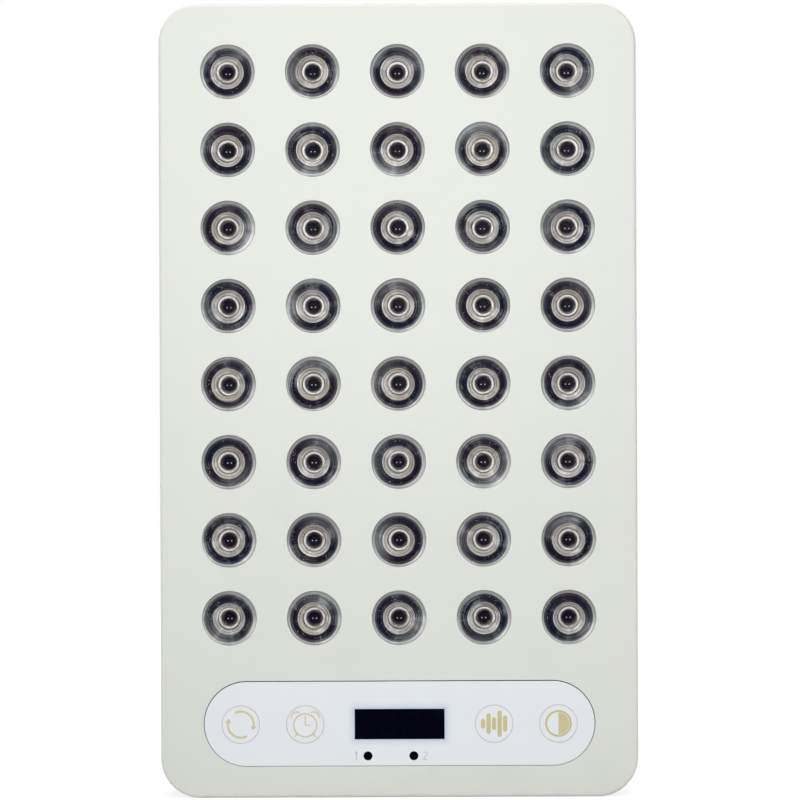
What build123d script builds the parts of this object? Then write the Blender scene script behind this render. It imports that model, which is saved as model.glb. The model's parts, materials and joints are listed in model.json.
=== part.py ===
from build123d import *
import os
from math import atan2, cos, degrees, radians, sin, sqrt

# Light therapy panel that stands upright. Millimetres.
# X runs to the right seen from the front, the lit face looks towards -Y, +Z is up.
# The origin is at the bottom, in the middle of the width and of the whole depth.

# Housing
panel_width = 216.4
panel_height = 360.0
housing_depth = 59.0
corner_radius = 18.0
edge_bevel = 1.3
sheet = 1.5
overrun = 1.0
cover_post_side = 9.0
cover_post_gap = 0.5

# Rounds that repeat are cut with this many flat sides, which keeps the model light
round_sides = 20
lens_sides = 16
small_round_sides = 10

# Half of a square's diagonal, as a share of its side
half_diagonal_share = sqrt(2) / 2

# Lens and emitter array, as many rows and columns as the face has room for
led_pitch_x = 38.5
led_pitch_z = 35.4
led_top_margin = 30.8
led_side_room = 29.0
led_control_room = 24.0
led_hole_diameter = 24.5
lens_gap = 0.3
lens_inset = 0.7
lens_length = 10.0
lens_seat_diameter = 9.8
lens_well_diameter = 14.4
lens_well_floor_diameter = 8.0
lens_well_depth = 5.5
emitter_side = 7.0
emitter_height = 2.2
led_board_thickness = 1.6
led_board_margin = 15.0
led_board_gap = 0.5
led_post_side = 8.0

# Heat sink
sink_base = 3.0
fin_clearance = 3.0
fin_thickness = 1.5
fin_count = 17

# Control panel
control_side_margin = 19.75
control_bottom_margin = 13.8
control_height = 38.8
control_gap = 0.3
control_flange = 3.0
control_flange_thickness = 1.2
control_flange_corner_share = 0.28
key_diameter = 16.9
key_gap = 0.25
key_end_margin = 16.45
key_inner_share = 0.435
key_travel = 0.4
key_play = 0.1
key_flange = 0.8
key_flange_thickness = 1.0
key_stem_side = 3.0
switch_side = 6.0
switch_height = 1.8
display_width = 40.7
display_height = 13.7
display_gap = 0.1
indicator_diameter = 4.1
indicator_left_x = 14.4
indicator_right_x = 6.4
indicator_drop = 14.4
indicator_led_side = 3.0
indicator_led_gap = 0.8
control_board_space = 5.3
control_board_thickness = 1.6
control_post_side = 6.0
control_post_gap = 0.5

# Fan
fan_side = 92.0
fan_depth = 25.0
fan_corner_bevel = 3.0
fan_centre_drop = 98.0
fan_wall = 1.5
fan_screw_inset = 4.75
motor_plate_diameter = 38.0
motor_plate_thickness = 3.0
fan_strut_width = 5.0
fan_pin_diameter = 5.0
fan_pin_length = 12.0
fan_running_gap = 0.06
hub_diameter = 36.0
hub_front_inset = 3.0
hub_gap = 1.0
blade_count = 7
blade_edge_inset = 1.3
blade_camber = 2.4
blade_thickness = 1.9
blade_pitch_angle = 38.0
blade_tip_gap = 1.0
blade_root_share = 0.6

# Screws in the rear cover
screw_diameter = 3.0
screw_head_diameter = 6.0
screw_head_height = 2.0
cover_screw_length = 10.0
fan_screw_length = 12.0

# Vents in the rear cover
grille_rim = 2.5
grille_slot_height = 4.4
grille_slot_pitch = 8.0
side_vent_count = 4
side_vent_width = 28.0
side_vent_height = 4.0
side_vent_pitch = 9.0
side_vent_margin = 10.0
side_vent_drop = 18.0

# Driver and its ribbon lead
driver_width = 120.0
driver_height = 46.0
driver_depth = 24.0
driver_ear = 9.0
driver_ear_thickness = 1.5
driver_place_share = 0.558
ribbon_width = 16.0
ribbon_thickness = 1.0
ribbon_rise = 10.8

# Mains inlet
inlet_side_margin = 34.2
inlet_z = 33.0
inlet_wall = 1.5
inlet_back_wall = 8.0
inlet_flange_lip = 1.8
inlet_flange_thickness = 2.0
inlet_flange_chamfer = 2.0
inlet_cavity_width = 24.4
inlet_cavity_height = 16.6
inlet_cavity_depth = 16.0
inlet_cavity_chamfer = 4.5
inlet_pin_pitch = 14.0
inlet_pin_stagger = 4.0
inlet_pin_thickness = 2.0
inlet_pin_height = 4.0
inlet_pin_length = 13.0
cutout_gap = 0.2

# Rocker switch
rocker_side_margin = 32.2
rocker_z = 33.0
rocker_bezel_lip = 1.0
rocker_bezel_thickness = 1.6
rocker_bezel_chamfer = 1.2
rocker_body_width = 13.0
rocker_body_height = 19.0
rocker_body_depth = 14.0
rocker_wall = 1.0
rocker_well_depth = 7.0
rocker_side_gap = 0.2
rocker_end_gap = 0.35
rocker_pivot_depth = 1.0
rocker_wing_rise = 2.2
rocker_middle_rise = 1.1
rocker_wing_thickness = 2.0
rocker_keel = 4.0
rocker_tilt = 8.0

# Easel stand
stand_grille_gap = 30.0
stand_gap = 0.6
knuckle_diameter = 6.4
stand_pin_diameter = 4.0
stand_running_gap = 0.05
stand_width = 92.0
stand_plate = 2.0
stand_leg_width = 16.0
stand_bridge_height = 16.0
stand_corner_bevel = 10.0
stand_foot_height = 10.0
stand_foot_sleeve = 1.2
stand_ground_gap = 2.3
stand_cross_height = 20.0
ear_gap = 0.3
ear_thickness = 3.0
bracket_base_width = 14.0
bracket_base_height = 20.0
bracket_base_thickness = 1.6

# Hanging nuts in the rear cover
hanger_side_margin = 24.2
hanger_top_margin = 38.0
hanger_thread_diameter = 4.2
hanger_neck_side = 6.0
hanger_nut_side = 8.5
hanger_nut_thickness = 4.0

# Depths, counted backwards from the front face
stand_proud = stand_gap + knuckle_diameter
overall_depth = housing_depth + stand_proud
half_depth = overall_depth / 2
cover_inner_depth = housing_depth - sheet
lens_back_depth = lens_inset + lens_length
led_board_depth = lens_back_depth + emitter_height
sink_depth = led_board_depth + led_board_thickness
control_flange_back = sheet + control_flange_thickness
control_board_depth = control_flange_back + control_board_space
control_board_back = control_board_depth + control_board_thickness
switch_top_depth = control_board_depth - switch_height
fan_front_depth = cover_inner_depth - fan_depth
sink_back_depth = cover_inner_depth - max(fan_depth, driver_depth) - fin_clearance
fin_height = sink_back_depth - sink_depth - sink_base

# Places on the front
control_width = panel_width - 2 * control_side_margin
control_centre_z = control_bottom_margin + control_height / 2
led_field_width = panel_width - 2 * led_side_room
led_field_height = panel_height - led_top_margin - control_bottom_margin - control_height - led_control_room
led_columns = int(led_field_width // led_pitch_x) + 1
led_rows = int(led_field_height // led_pitch_z) + 1
led_span_x = (led_columns - 1) * led_pitch_x
led_span_z = (led_rows - 1) * led_pitch_z
led_centre_z = panel_height - led_top_margin - led_span_z / 2
led_board_height = led_span_z + 2 * led_board_margin
led_board_bottom = led_centre_z - led_board_height / 2
lens_diameter = led_hole_diameter - 2 * lens_gap
post_pitch_x = led_span_x - led_pitch_x
post_pitch_z = led_span_z - led_pitch_z
control_flange_width = control_width + 2 * control_flange
control_flange_height = control_height + 2 * control_flange
control_post_pitch_x = control_width - control_post_side
control_post_pitch_z = control_flange_height + 2 * control_post_gap + control_post_side
control_board_height = control_post_pitch_z + control_post_side
key_hole_diameter = key_diameter + 2 * key_gap
key_outer_x = control_width / 2 - key_end_margin
key_inner_x = display_width / 2 + (key_outer_x - display_width / 2) * key_inner_share
key_places = {
    "mode_key": -key_outer_x,
    "timer_key": -key_inner_x,
    "pulse_key": key_inner_x,
    "dimmer_key": key_outer_x,
}

# Places of the corner posts, and of what the rear cover carries
cover_post_reach = corner_radius - sheet - cover_post_gap - cover_post_side * half_diagonal_share
cover_post_inset = corner_radius - cover_post_reach * half_diagonal_share
cover_post_pitch_x = panel_width - 2 * cover_post_inset
cover_post_pitch_z = panel_height - 2 * cover_post_inset
led_board_width = cover_post_pitch_x - cover_post_side - 2 * led_board_gap
fan_centre_z = panel_height - fan_centre_drop
fan_duct_diameter = fan_side - 2 * fan_wall
fan_screw_spacing = fan_side - 2 * fan_screw_inset
grille_radius = fan_duct_diameter / 2 - grille_rim
fan_bottom_z = fan_centre_z - fan_side / 2
control_board_top = control_centre_z + control_board_height / 2
driver_centre_z = control_board_top + (fan_bottom_z - control_board_top) * driver_place_share
side_vent_x = (panel_width - side_vent_width) / 2 - side_vent_margin
side_vent_z = driver_centre_z - side_vent_drop
stand_hinge_z = fan_centre_z - grille_radius - stand_grille_gap
hanger_x = panel_width / 2 - hanger_side_margin
hanger_z = panel_height - hanger_top_margin
inlet_x = panel_width / 2 - inlet_side_margin
inlet_body_width = inlet_cavity_width + 2 * inlet_wall
inlet_body_height = inlet_cavity_height + 2 * inlet_wall
inlet_mouth_depth = housing_depth + inlet_flange_thickness
rocker_x = panel_width / 2 - rocker_side_margin

# Pitch of the fins
fin_pitch = (led_board_width - fin_thickness) / (fin_count - 1)


def depth_plane(depth):
    """A plane across the panel, looking out of the front, at a depth behind the front face."""
    return Plane.XZ.offset(half_depth - depth)


os.makedirs("parts", exist_ok=True)


# Front shell: a formed tray with the lit face, its lens holes and the control opening
with BuildPart() as front_shell:
    with BuildSketch(depth_plane(0)):
        with Locations((0, panel_height / 2)):
            RectangleRounded(panel_width, panel_height, corner_radius)
    extrude(amount=-cover_inner_depth)
    chamfer(front_shell.faces().sort_by(Axis.Y)[0].edges(), edge_bevel)
    with BuildSketch(depth_plane(sheet)):
        with Locations((0, panel_height / 2)):
            RectangleRounded(panel_width - 2 * sheet, panel_height - 2 * sheet, corner_radius - sheet)
    extrude(amount=-housing_depth, mode=Mode.SUBTRACT)
    with BuildSketch(depth_plane(0)):
        with Locations((0, led_centre_z)):
            with GridLocations(
                x_spacing=led_pitch_x, y_spacing=led_pitch_z, x_count=led_columns, y_count=led_rows
            ):
                RegularPolygon(led_hole_diameter / 2, round_sides)
        with Locations((0, control_centre_z)):
            SlotOverall(control_width + 2 * control_gap, control_height + 2 * control_gap)
    extrude(amount=-(sheet + overrun), mode=Mode.SUBTRACT)
    with BuildSketch(depth_plane(sheet)):
        with Locations((0, led_centre_z)):
            with GridLocations(x_spacing=post_pitch_x, y_spacing=post_pitch_z, x_count=2, y_count=2):
                Rectangle(led_post_side, led_post_side)
    extrude(amount=-(led_board_depth - sheet))
    with BuildSketch(depth_plane(sheet)):
        with Locations((0, control_centre_z)):
            with GridLocations(
                x_spacing=control_post_pitch_x, y_spacing=control_post_pitch_z, x_count=2, y_count=2
            ):
                Rectangle(control_post_side, control_post_side)
    extrude(amount=-(control_board_depth - sheet))
    with BuildSketch(depth_plane(sheet)):
        with Locations((0, panel_height / 2)):
            with GridLocations(
                x_spacing=cover_post_pitch_x, y_spacing=cover_post_pitch_z, x_count=2, y_count=2
            ):
                Rectangle(cover_post_side, cover_post_side)
    extrude(amount=-(cover_inner_depth - sheet))
    with BuildSketch(depth_plane(cover_inner_depth)):
        with Locations((0, panel_height / 2)):
            with GridLocations(
                x_spacing=cover_post_pitch_x, y_spacing=cover_post_pitch_z, x_count=2, y_count=2
            ):
                RegularPolygon(screw_diameter / 2, small_round_sides)
    extrude(amount=cover_screw_length - sheet, mode=Mode.SUBTRACT)
front_shell.part.label = "front_shell"
export_step(front_shell.part, "parts/front_shell.step")


# Rear cover: a flat plate with the fan grille, side vents and the cut-outs for mains and hanging
grille_side_slots = int((grille_radius - grille_slot_height / 2) // grille_slot_pitch)
with BuildPart() as rear_cover:
    with BuildSketch(depth_plane(cover_inner_depth)):
        with Locations((0, panel_height / 2)):
            RectangleRounded(panel_width, panel_height, corner_radius)
        for row in range(-grille_side_slots, grille_side_slots + 1):
            rise = row * grille_slot_pitch
            reach = sqrt(grille_radius**2 - (abs(rise) + grille_slot_height / 2) ** 2)
            with Locations((0, fan_centre_z + rise)):
                Rectangle(2 * reach, grille_slot_height, mode=Mode.SUBTRACT)
        with Locations((-side_vent_x, side_vent_z), (side_vent_x, side_vent_z)):
            with GridLocations(x_spacing=0, y_spacing=side_vent_pitch, x_count=1, y_count=side_vent_count):
                Rectangle(side_vent_width, side_vent_height, mode=Mode.SUBTRACT)
        with Locations((-inlet_x, inlet_z)):
            Rectangle(
                inlet_body_width + 2 * cutout_gap, inlet_body_height + 2 * cutout_gap, mode=Mode.SUBTRACT
            )
        with Locations((rocker_x, rocker_z)):
            Rectangle(
                rocker_body_width + 2 * cutout_gap, rocker_body_height + 2 * cutout_gap, mode=Mode.SUBTRACT
            )
        with Locations((-hanger_x, hanger_z), (hanger_x, hanger_z)):
            Rectangle(hanger_neck_side, hanger_neck_side, mode=Mode.SUBTRACT)
        with Locations((0, panel_height / 2)):
            with GridLocations(
                x_spacing=cover_post_pitch_x, y_spacing=cover_post_pitch_z, x_count=2, y_count=2
            ):
                RegularPolygon(screw_diameter / 2, small_round_sides, mode=Mode.SUBTRACT)
        with Locations((0, fan_centre_z)):
            with GridLocations(
                x_spacing=fan_screw_spacing, y_spacing=fan_screw_spacing, x_count=2, y_count=2
            ):
                RegularPolygon(screw_diameter / 2, small_round_sides, mode=Mode.SUBTRACT)
    extrude(amount=-sheet)
rear_cover.part.label = "rear_cover"
export_step(rear_cover.part, "parts/rear_cover.step")


# Lenses: forty clear collimators, each a cone with a round well in its front
lens_flank_run = (lens_diameter - lens_seat_diameter) / 2 * cos(radians(180 / lens_sides))
lens_flank_angle = degrees(atan2(lens_flank_run, lens_length))
well_run = (lens_well_diameter - lens_well_floor_diameter) / 2 * cos(radians(180 / small_round_sides))
well_angle = degrees(atan2(well_run, lens_well_depth))
with BuildPart() as well_cutter:
    with BuildSketch(Plane.XY.offset(lens_length)):
        RegularPolygon(lens_well_diameter / 2, small_round_sides)
    extrude(amount=-lens_well_depth)
    draft(well_cutter.faces().filter_by(Axis.Z, reverse=True), Plane.XY.offset(lens_length), -well_angle)
with BuildPart() as lens_shape:
    with BuildSketch():
        RegularPolygon(lens_seat_diameter / 2, lens_sides)
    extrude(amount=lens_length)
    draft(lens_shape.faces().filter_by(Axis.Z, reverse=True), Plane.XY, -lens_flank_angle)
    add(well_cutter.part, mode=Mode.SUBTRACT)
with BuildPart(depth_plane(lens_back_depth)) as lenses:
    with Locations((0, led_centre_z)):
        with GridLocations(
            x_spacing=led_pitch_x, y_spacing=led_pitch_z, x_count=led_columns, y_count=led_rows
        ):
            add(lens_shape.part)
lenses.part.label = "lenses"
export_step(lenses.part, "parts/lenses.step")


# Emitters: forty square packages between the board and the lenses
with BuildPart() as emitters:
    with BuildSketch(depth_plane(lens_back_depth)):
        with Locations((0, led_centre_z)):
            with GridLocations(
                x_spacing=led_pitch_x, y_spacing=led_pitch_z, x_count=led_columns, y_count=led_rows
            ):
                Rectangle(emitter_side, emitter_side)
    extrude(amount=-emitter_height)
emitters.part.label = "emitters"
export_step(emitters.part, "parts/emitters.step")


# Board that carries the emitters
with BuildPart() as led_board:
    with BuildSketch(depth_plane(led_board_depth)):
        with Locations((0, led_centre_z)):
            Rectangle(led_board_width, led_board_height)
    extrude(amount=-led_board_thickness)
led_board.part.label = "led_board"
export_step(led_board.part, "parts/led_board.step")


# Heat sink: an extrusion with upright fins behind the board
with BuildPart() as heat_sink:
    with BuildSketch(Plane.XY.offset(led_board_bottom)):
        with Locations((0, sink_depth - half_depth)):
            Rectangle(led_board_width, sink_base, align=(Align.CENTER, Align.MIN))
        with Locations((0, sink_depth - half_depth + sink_base)):
            with GridLocations(x_spacing=fin_pitch, y_spacing=0, x_count=fin_count, y_count=1):
                Rectangle(fin_thickness, fin_height, align=(Align.CENTER, Align.MIN))
    extrude(amount=led_board_height)
heat_sink.part.label = "heat_sink"
export_step(heat_sink.part, "parts/heat_sink.step")


# Control overlay: the white pill, flush with the face, on a flange glued behind it
with BuildPart() as control_overlay:
    with BuildSketch(depth_plane(0)):
        with Locations((0, control_centre_z)):
            SlotOverall(control_width, control_height)
    extrude(amount=-sheet)
    with BuildSketch(depth_plane(sheet)):
        with Locations((0, control_centre_z)):
            control_back = Rectangle(control_flange_width, control_flange_height)
        chamfer(control_back.vertices(), control_flange_height * control_flange_corner_share)
    extrude(amount=-control_flange_thickness)
    with BuildSketch(depth_plane(0)):
        for key_x in key_places.values():
            with Locations((key_x, control_centre_z)):
                RegularPolygon(key_hole_diameter / 2, round_sides)
        with Locations((0, control_centre_z)):
            Rectangle(display_width + 2 * display_gap, display_height + 2 * display_gap)
        with Locations(
            (-indicator_left_x, control_centre_z - indicator_drop),
            (indicator_right_x, control_centre_z - indicator_drop),
        ):
            RegularPolygon(indicator_diameter / 2, small_round_sides)
    extrude(amount=-control_flange_back, mode=Mode.SUBTRACT)
control_overlay.part.label = "control_overlay"
export_step(control_overlay.part, "parts/control_overlay.step")


# Display window and the four-digit display behind it
with BuildPart() as display_window:
    with BuildSketch(depth_plane(0)):
        with Locations((0, control_centre_z)):
            Rectangle(display_width, display_height)
    extrude(amount=-control_flange_back)
display_window.part.label = "display_window"
export_step(display_window.part, "parts/display_window.step")

with BuildPart() as display_module:
    with BuildSketch(depth_plane(control_flange_back)):
        with Locations((0, control_centre_z)):
            Rectangle(display_width, display_height)
    extrude(amount=-control_board_space)
display_module.part.label = "display_module"
export_step(display_module.part, "parts/display_module.step")


# Control board with the key switches and the two indicator lamps
with BuildPart() as control_board:
    with BuildSketch(depth_plane(control_board_depth)):
        with Locations((0, control_centre_z)):
            Rectangle(control_width, control_board_height)
    extrude(amount=-control_board_thickness)
control_board.part.label = "control_board"
export_step(control_board.part, "parts/control_board.step")

with BuildPart() as key_switches:
    with BuildSketch(depth_plane(control_board_depth)):
        for key_x in key_places.values():
            with Locations((key_x, control_centre_z)):
                Rectangle(switch_side, switch_side)
    extrude(amount=switch_height)
key_switches.part.label = "key_switches"
export_step(key_switches.part, "parts/key_switches.step")

with BuildPart() as indicator_lamps:
    with BuildSketch(depth_plane(control_board_depth)):
        with Locations(
            (-indicator_left_x, control_centre_z - indicator_drop),
            (indicator_right_x, control_centre_z - indicator_drop),
        ):
            Rectangle(indicator_led_side, indicator_led_side)
    extrude(amount=control_board_space - indicator_led_gap)
indicator_lamps.part.label = "indicator_lamps"
export_step(indicator_lamps.part, "parts/indicator_lamps.step")


# Four round push keys, each with a square flange that holds it behind the overlay
key_flange_depth = control_flange_back + key_play
key_stem_length = switch_top_depth - key_travel - key_play - key_flange_depth - key_flange_thickness
for key_name, key_x in key_places.items():
    with BuildPart() as key:
        with BuildSketch(depth_plane(0)):
            with Locations((key_x, control_centre_z)):
                RegularPolygon(key_diameter / 2, round_sides)
        extrude(amount=-key_flange_depth)
        with BuildSketch(depth_plane(key_flange_depth)):
            with Locations((key_x, control_centre_z)):
                Rectangle(key_diameter + 2 * key_flange, key_diameter + 2 * key_flange)
        extrude(amount=-key_flange_thickness)
        with BuildSketch(depth_plane(key_flange_depth + key_flange_thickness)):
            with Locations((key_x, control_centre_z)):
                Rectangle(key_stem_side, key_stem_side)
        extrude(amount=-key_stem_length)
    key.part.label = key_name
    export_step(key.part, f"parts/{key_name}.step")


# Fan frame: a square duct with a motor plate, four struts and the shaft pin
motor_plate_depth = fan_front_depth + fan_depth
with BuildPart() as fan_frame:
    with BuildSketch(depth_plane(fan_front_depth)):
        with Locations((0, fan_centre_z)):
            fan_outline = Rectangle(fan_side, fan_side)
            chamfer(fan_outline.vertices(), fan_corner_bevel)
            RegularPolygon(fan_duct_diameter / 2, 2 * round_sides, mode=Mode.SUBTRACT)
            with GridLocations(
                x_spacing=fan_screw_spacing, y_spacing=fan_screw_spacing, x_count=2, y_count=2
            ):
                RegularPolygon(screw_diameter / 2, small_round_sides, mode=Mode.SUBTRACT)
    extrude(amount=-fan_depth)
    with BuildSketch(depth_plane(motor_plate_depth)):
        with Locations((0, fan_centre_z)):
            RegularPolygon(motor_plate_diameter / 2, round_sides)
            Rectangle(fan_duct_diameter + fan_wall, fan_strut_width, rotation=45)
            Rectangle(fan_strut_width, fan_duct_diameter + fan_wall, rotation=45)
    extrude(amount=motor_plate_thickness)
    with BuildSketch(depth_plane(motor_plate_depth - motor_plate_thickness)):
        with Locations((0, fan_centre_z)):
            Circle(fan_pin_diameter / 2)
    extrude(amount=fan_pin_length)
fan_frame.part.label = "fan_frame"
export_step(fan_frame.part, "parts/fan_frame.step")


# Fan rotor: a hub with cambered blades
hub_back_depth = motor_plate_depth - motor_plate_thickness - hub_gap
hub_depth = hub_back_depth - fan_front_depth - hub_front_inset
blade_chord = (hub_depth - 2 * blade_edge_inset) / sin(radians(blade_pitch_angle))
blade_reach = fan_duct_diameter / 2 - blade_tip_gap
blade_half_width = blade_chord / 2 * cos(radians(blade_pitch_angle)) + blade_camber + blade_thickness
blade_tip = sqrt(blade_reach**2 - blade_half_width**2)
blade_root = hub_diameter / 2 * blade_root_share
hub_centre = (0, hub_back_depth - hub_depth / 2 - half_depth, fan_centre_z)
pitch_across = cos(radians(blade_pitch_angle))
pitch_along = sin(radians(blade_pitch_angle))
with BuildPart() as fan_rotor:
    with BuildSketch(depth_plane(hub_back_depth)):
        with Locations((0, fan_centre_z)):
            RegularPolygon(hub_diameter / 2, round_sides)
    extrude(amount=hub_depth)
    for blade in range(blade_count):
        turn = radians(360 * blade / blade_count)
        blade_plane = Plane(
            origin=hub_centre,
            x_dir=(pitch_across * cos(turn), pitch_along, -pitch_across * sin(turn)),
            z_dir=(sin(turn), 0, cos(turn)),
        )
        with BuildSketch(blade_plane.offset(blade_root)):
            with BuildLine():
                Polyline(
                    (-blade_chord / 2, 0),
                    (0, blade_camber),
                    (blade_chord / 2, 0),
                    (blade_chord / 2, blade_thickness),
                    (0, blade_camber + blade_thickness),
                    (-blade_chord / 2, blade_thickness),
                    close=True,
                )
            make_face()
        extrude(amount=blade_tip - blade_root)
    with BuildSketch(depth_plane(hub_back_depth)):
        with Locations((0, fan_centre_z)):
            Circle(fan_pin_diameter / 2 + fan_running_gap)
    extrude(amount=fan_pin_length, mode=Mode.SUBTRACT)
fan_rotor.part.label = "fan_rotor"
export_step(fan_rotor.part, "parts/fan_rotor.step")


# Driver: a closed case with two mounting ears on the rear cover
with BuildPart() as led_driver:
    with BuildSketch(depth_plane(cover_inner_depth)):
        with Locations((0, driver_centre_z)):
            Rectangle(driver_width + 2 * driver_ear, driver_height)
    extrude(amount=driver_ear_thickness)
    with BuildSketch(depth_plane(cover_inner_depth)):
        with Locations((0, driver_centre_z)):
            Rectangle(driver_width, driver_height)
    extrude(amount=driver_depth)
led_driver.part.label = "led_driver"
export_step(led_driver.part, "parts/led_driver.step")


# Ribbon lead from the control board back and up to the driver
ribbon_depth = cover_inner_depth - driver_depth / 2
ribbon_start_z = control_centre_z + ribbon_rise
with BuildPart() as control_ribbon:
    with BuildSketch(Plane.YZ):
        with BuildLine():
            Polyline(
                (control_board_back - half_depth, ribbon_start_z),
                (ribbon_depth - half_depth, ribbon_start_z),
                (ribbon_depth - half_depth, driver_centre_z - driver_height / 2),
            )
            offset(amount=ribbon_thickness, side=Side.LEFT)
        make_face()
    extrude(amount=ribbon_width / 2, both=True)
control_ribbon.part.label = "control_ribbon"
export_step(control_ribbon.part, "parts/control_ribbon.step")


# Mains inlet with its three blade pins
with BuildPart() as power_inlet:
    with BuildSketch(depth_plane(inlet_mouth_depth)):
        with Locations((-inlet_x, inlet_z)):
            inlet_flange = Rectangle(
                inlet_body_width + 2 * inlet_flange_lip, inlet_body_height + 2 * inlet_flange_lip
            )
        chamfer(inlet_flange.vertices(), inlet_flange_chamfer)
    extrude(amount=inlet_flange_thickness)
    with BuildSketch(depth_plane(housing_depth)):
        with Locations((-inlet_x, inlet_z)):
            Rectangle(inlet_body_width, inlet_body_height)
    extrude(amount=inlet_cavity_depth + inlet_back_wall - inlet_flange_thickness)
    with BuildSketch(depth_plane(inlet_mouth_depth)):
        with Locations((-inlet_x, inlet_z)):
            inlet_cavity = Rectangle(inlet_cavity_width, inlet_cavity_height)
        chamfer(inlet_cavity.vertices().group_by(Axis.Z)[-1], inlet_cavity_chamfer)
    extrude(amount=inlet_cavity_depth, mode=Mode.SUBTRACT)
power_inlet.part.label = "power_inlet"
export_step(power_inlet.part, "parts/power_inlet.step")

with BuildPart() as inlet_pins:
    with BuildSketch(depth_plane(inlet_mouth_depth - inlet_cavity_depth)):
        with Locations(
            (-inlet_x, inlet_z + inlet_pin_stagger / 2),
            (-inlet_x - inlet_pin_pitch / 2, inlet_z - inlet_pin_stagger / 2),
            (-inlet_x + inlet_pin_pitch / 2, inlet_z - inlet_pin_stagger / 2),
        ):
            Rectangle(inlet_pin_thickness, inlet_pin_height)
    extrude(amount=-inlet_pin_length)
inlet_pins.part.label = "inlet_pins"
export_step(inlet_pins.part, "parts/inlet_pins.step")


# Rocker switch: a bezel and body, and the paddle tilted to its off side
rocker_face_depth = housing_depth + rocker_bezel_thickness
rocker_well_width = rocker_body_width - 2 * rocker_wall
rocker_well_height = rocker_body_height - 2 * rocker_wall
with BuildPart() as rocker_body:
    with BuildSketch(depth_plane(rocker_face_depth)):
        with Locations((rocker_x, rocker_z)):
            rocker_bezel = Rectangle(
                rocker_body_width + 2 * rocker_bezel_lip, rocker_body_height + 2 * rocker_bezel_lip
            )
        chamfer(rocker_bezel.vertices(), rocker_bezel_chamfer)
    extrude(amount=rocker_bezel_thickness)
    with BuildSketch(depth_plane(housing_depth)):
        with Locations((rocker_x, rocker_z)):
            Rectangle(rocker_body_width, rocker_body_height)
    extrude(amount=rocker_body_depth)
    with BuildSketch(depth_plane(rocker_face_depth)):
        with Locations((rocker_x, rocker_z)):
            Rectangle(rocker_well_width, rocker_well_height)
    extrude(amount=rocker_well_depth, mode=Mode.SUBTRACT)
rocker_body.part.label = "rocker_body"
export_step(rocker_body.part, "parts/rocker_body.step")

rocker_pivot_y = rocker_face_depth - rocker_pivot_depth - half_depth
rocker_half = sqrt((rocker_well_height / 2 - rocker_end_gap) ** 2 - rocker_wing_rise**2)
rocker_pivot = Plane(
    origin=(rocker_x, rocker_pivot_y, rocker_z),
    x_dir=(0, cos(radians(rocker_tilt)), sin(radians(rocker_tilt))),
    z_dir=(1, 0, 0),
)
with BuildPart() as rocker_paddle:
    with BuildSketch(rocker_pivot):
        with BuildLine():
            Polyline(
                (rocker_wing_rise, -rocker_half),
                (rocker_middle_rise, 0),
                (rocker_wing_rise, rocker_half),
                (rocker_wing_rise - rocker_wing_thickness, rocker_half),
                (-rocker_keel, 0),
                (rocker_wing_rise - rocker_wing_thickness, -rocker_half),
                close=True,
            )
        make_face()
    extrude(amount=rocker_well_width / 2 - rocker_side_gap, both=True)
rocker_paddle.part.label = "rocker_paddle"
export_step(rocker_paddle.part, "parts/rocker_paddle.step")


# Stand: a plate frame that hangs folded against the rear cover from its rolled top edge
stand_y = half_depth - knuckle_diameter / 2
stand_plane = Plane.XZ.offset(-stand_y)
stand_foot_bottom = stand_ground_gap + stand_foot_sleeve
stand_window_height = stand_hinge_z - stand_bridge_height - stand_foot_bottom - stand_cross_height
with BuildPart() as stand_frame:
    with BuildSketch(stand_plane.offset(stand_plate / 2)):
        with Locations((0, stand_foot_bottom)):
            stand_sheet = Rectangle(
                stand_width, stand_hinge_z - stand_foot_bottom, align=(Align.CENTER, Align.MIN)
            )
        chamfer(stand_sheet.vertices().group_by(Axis.Z)[0], stand_corner_bevel)
        with Locations((0, stand_foot_bottom + stand_cross_height)):
            Rectangle(
                stand_width - 2 * stand_leg_width,
                stand_window_height,
                align=(Align.CENTER, Align.MIN),
                mode=Mode.SUBTRACT,
            )
    extrude(amount=-stand_plate)
    with BuildSketch(Plane.YZ):
        with Locations((stand_y, stand_hinge_z)):
            Circle(knuckle_diameter / 2)
    extrude(amount=stand_width / 2, both=True)
    with BuildSketch(Plane.YZ):
        with Locations((stand_y, stand_hinge_z)):
            Circle(stand_pin_diameter / 2 + stand_running_gap)
    extrude(amount=stand_width, both=True, mode=Mode.SUBTRACT)
stand_frame.part.label = "stand_frame"
export_step(stand_frame.part, "parts/stand_frame.step")


# Stand foot: a rubber channel pressed over the bottom edge of the frame
foot_width = stand_width - 2 * stand_corner_bevel
with BuildPart() as stand_foot:
    with BuildSketch(stand_plane.offset(stand_plate / 2 + stand_foot_sleeve)):
        with Locations((0, stand_ground_gap)):
            Rectangle(foot_width, stand_foot_height, align=(Align.CENTER, Align.MIN))
    extrude(amount=-(stand_plate + 2 * stand_foot_sleeve))
    with BuildSketch(stand_plane.offset(stand_plate / 2)):
        with Locations((0, stand_foot_bottom)):
            Rectangle(foot_width, stand_foot_height, align=(Align.CENTER, Align.MIN))
    extrude(amount=-stand_plate, mode=Mode.SUBTRACT)
stand_foot.part.label = "stand_foot"
export_step(stand_foot.part, "parts/stand_foot.step")


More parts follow.
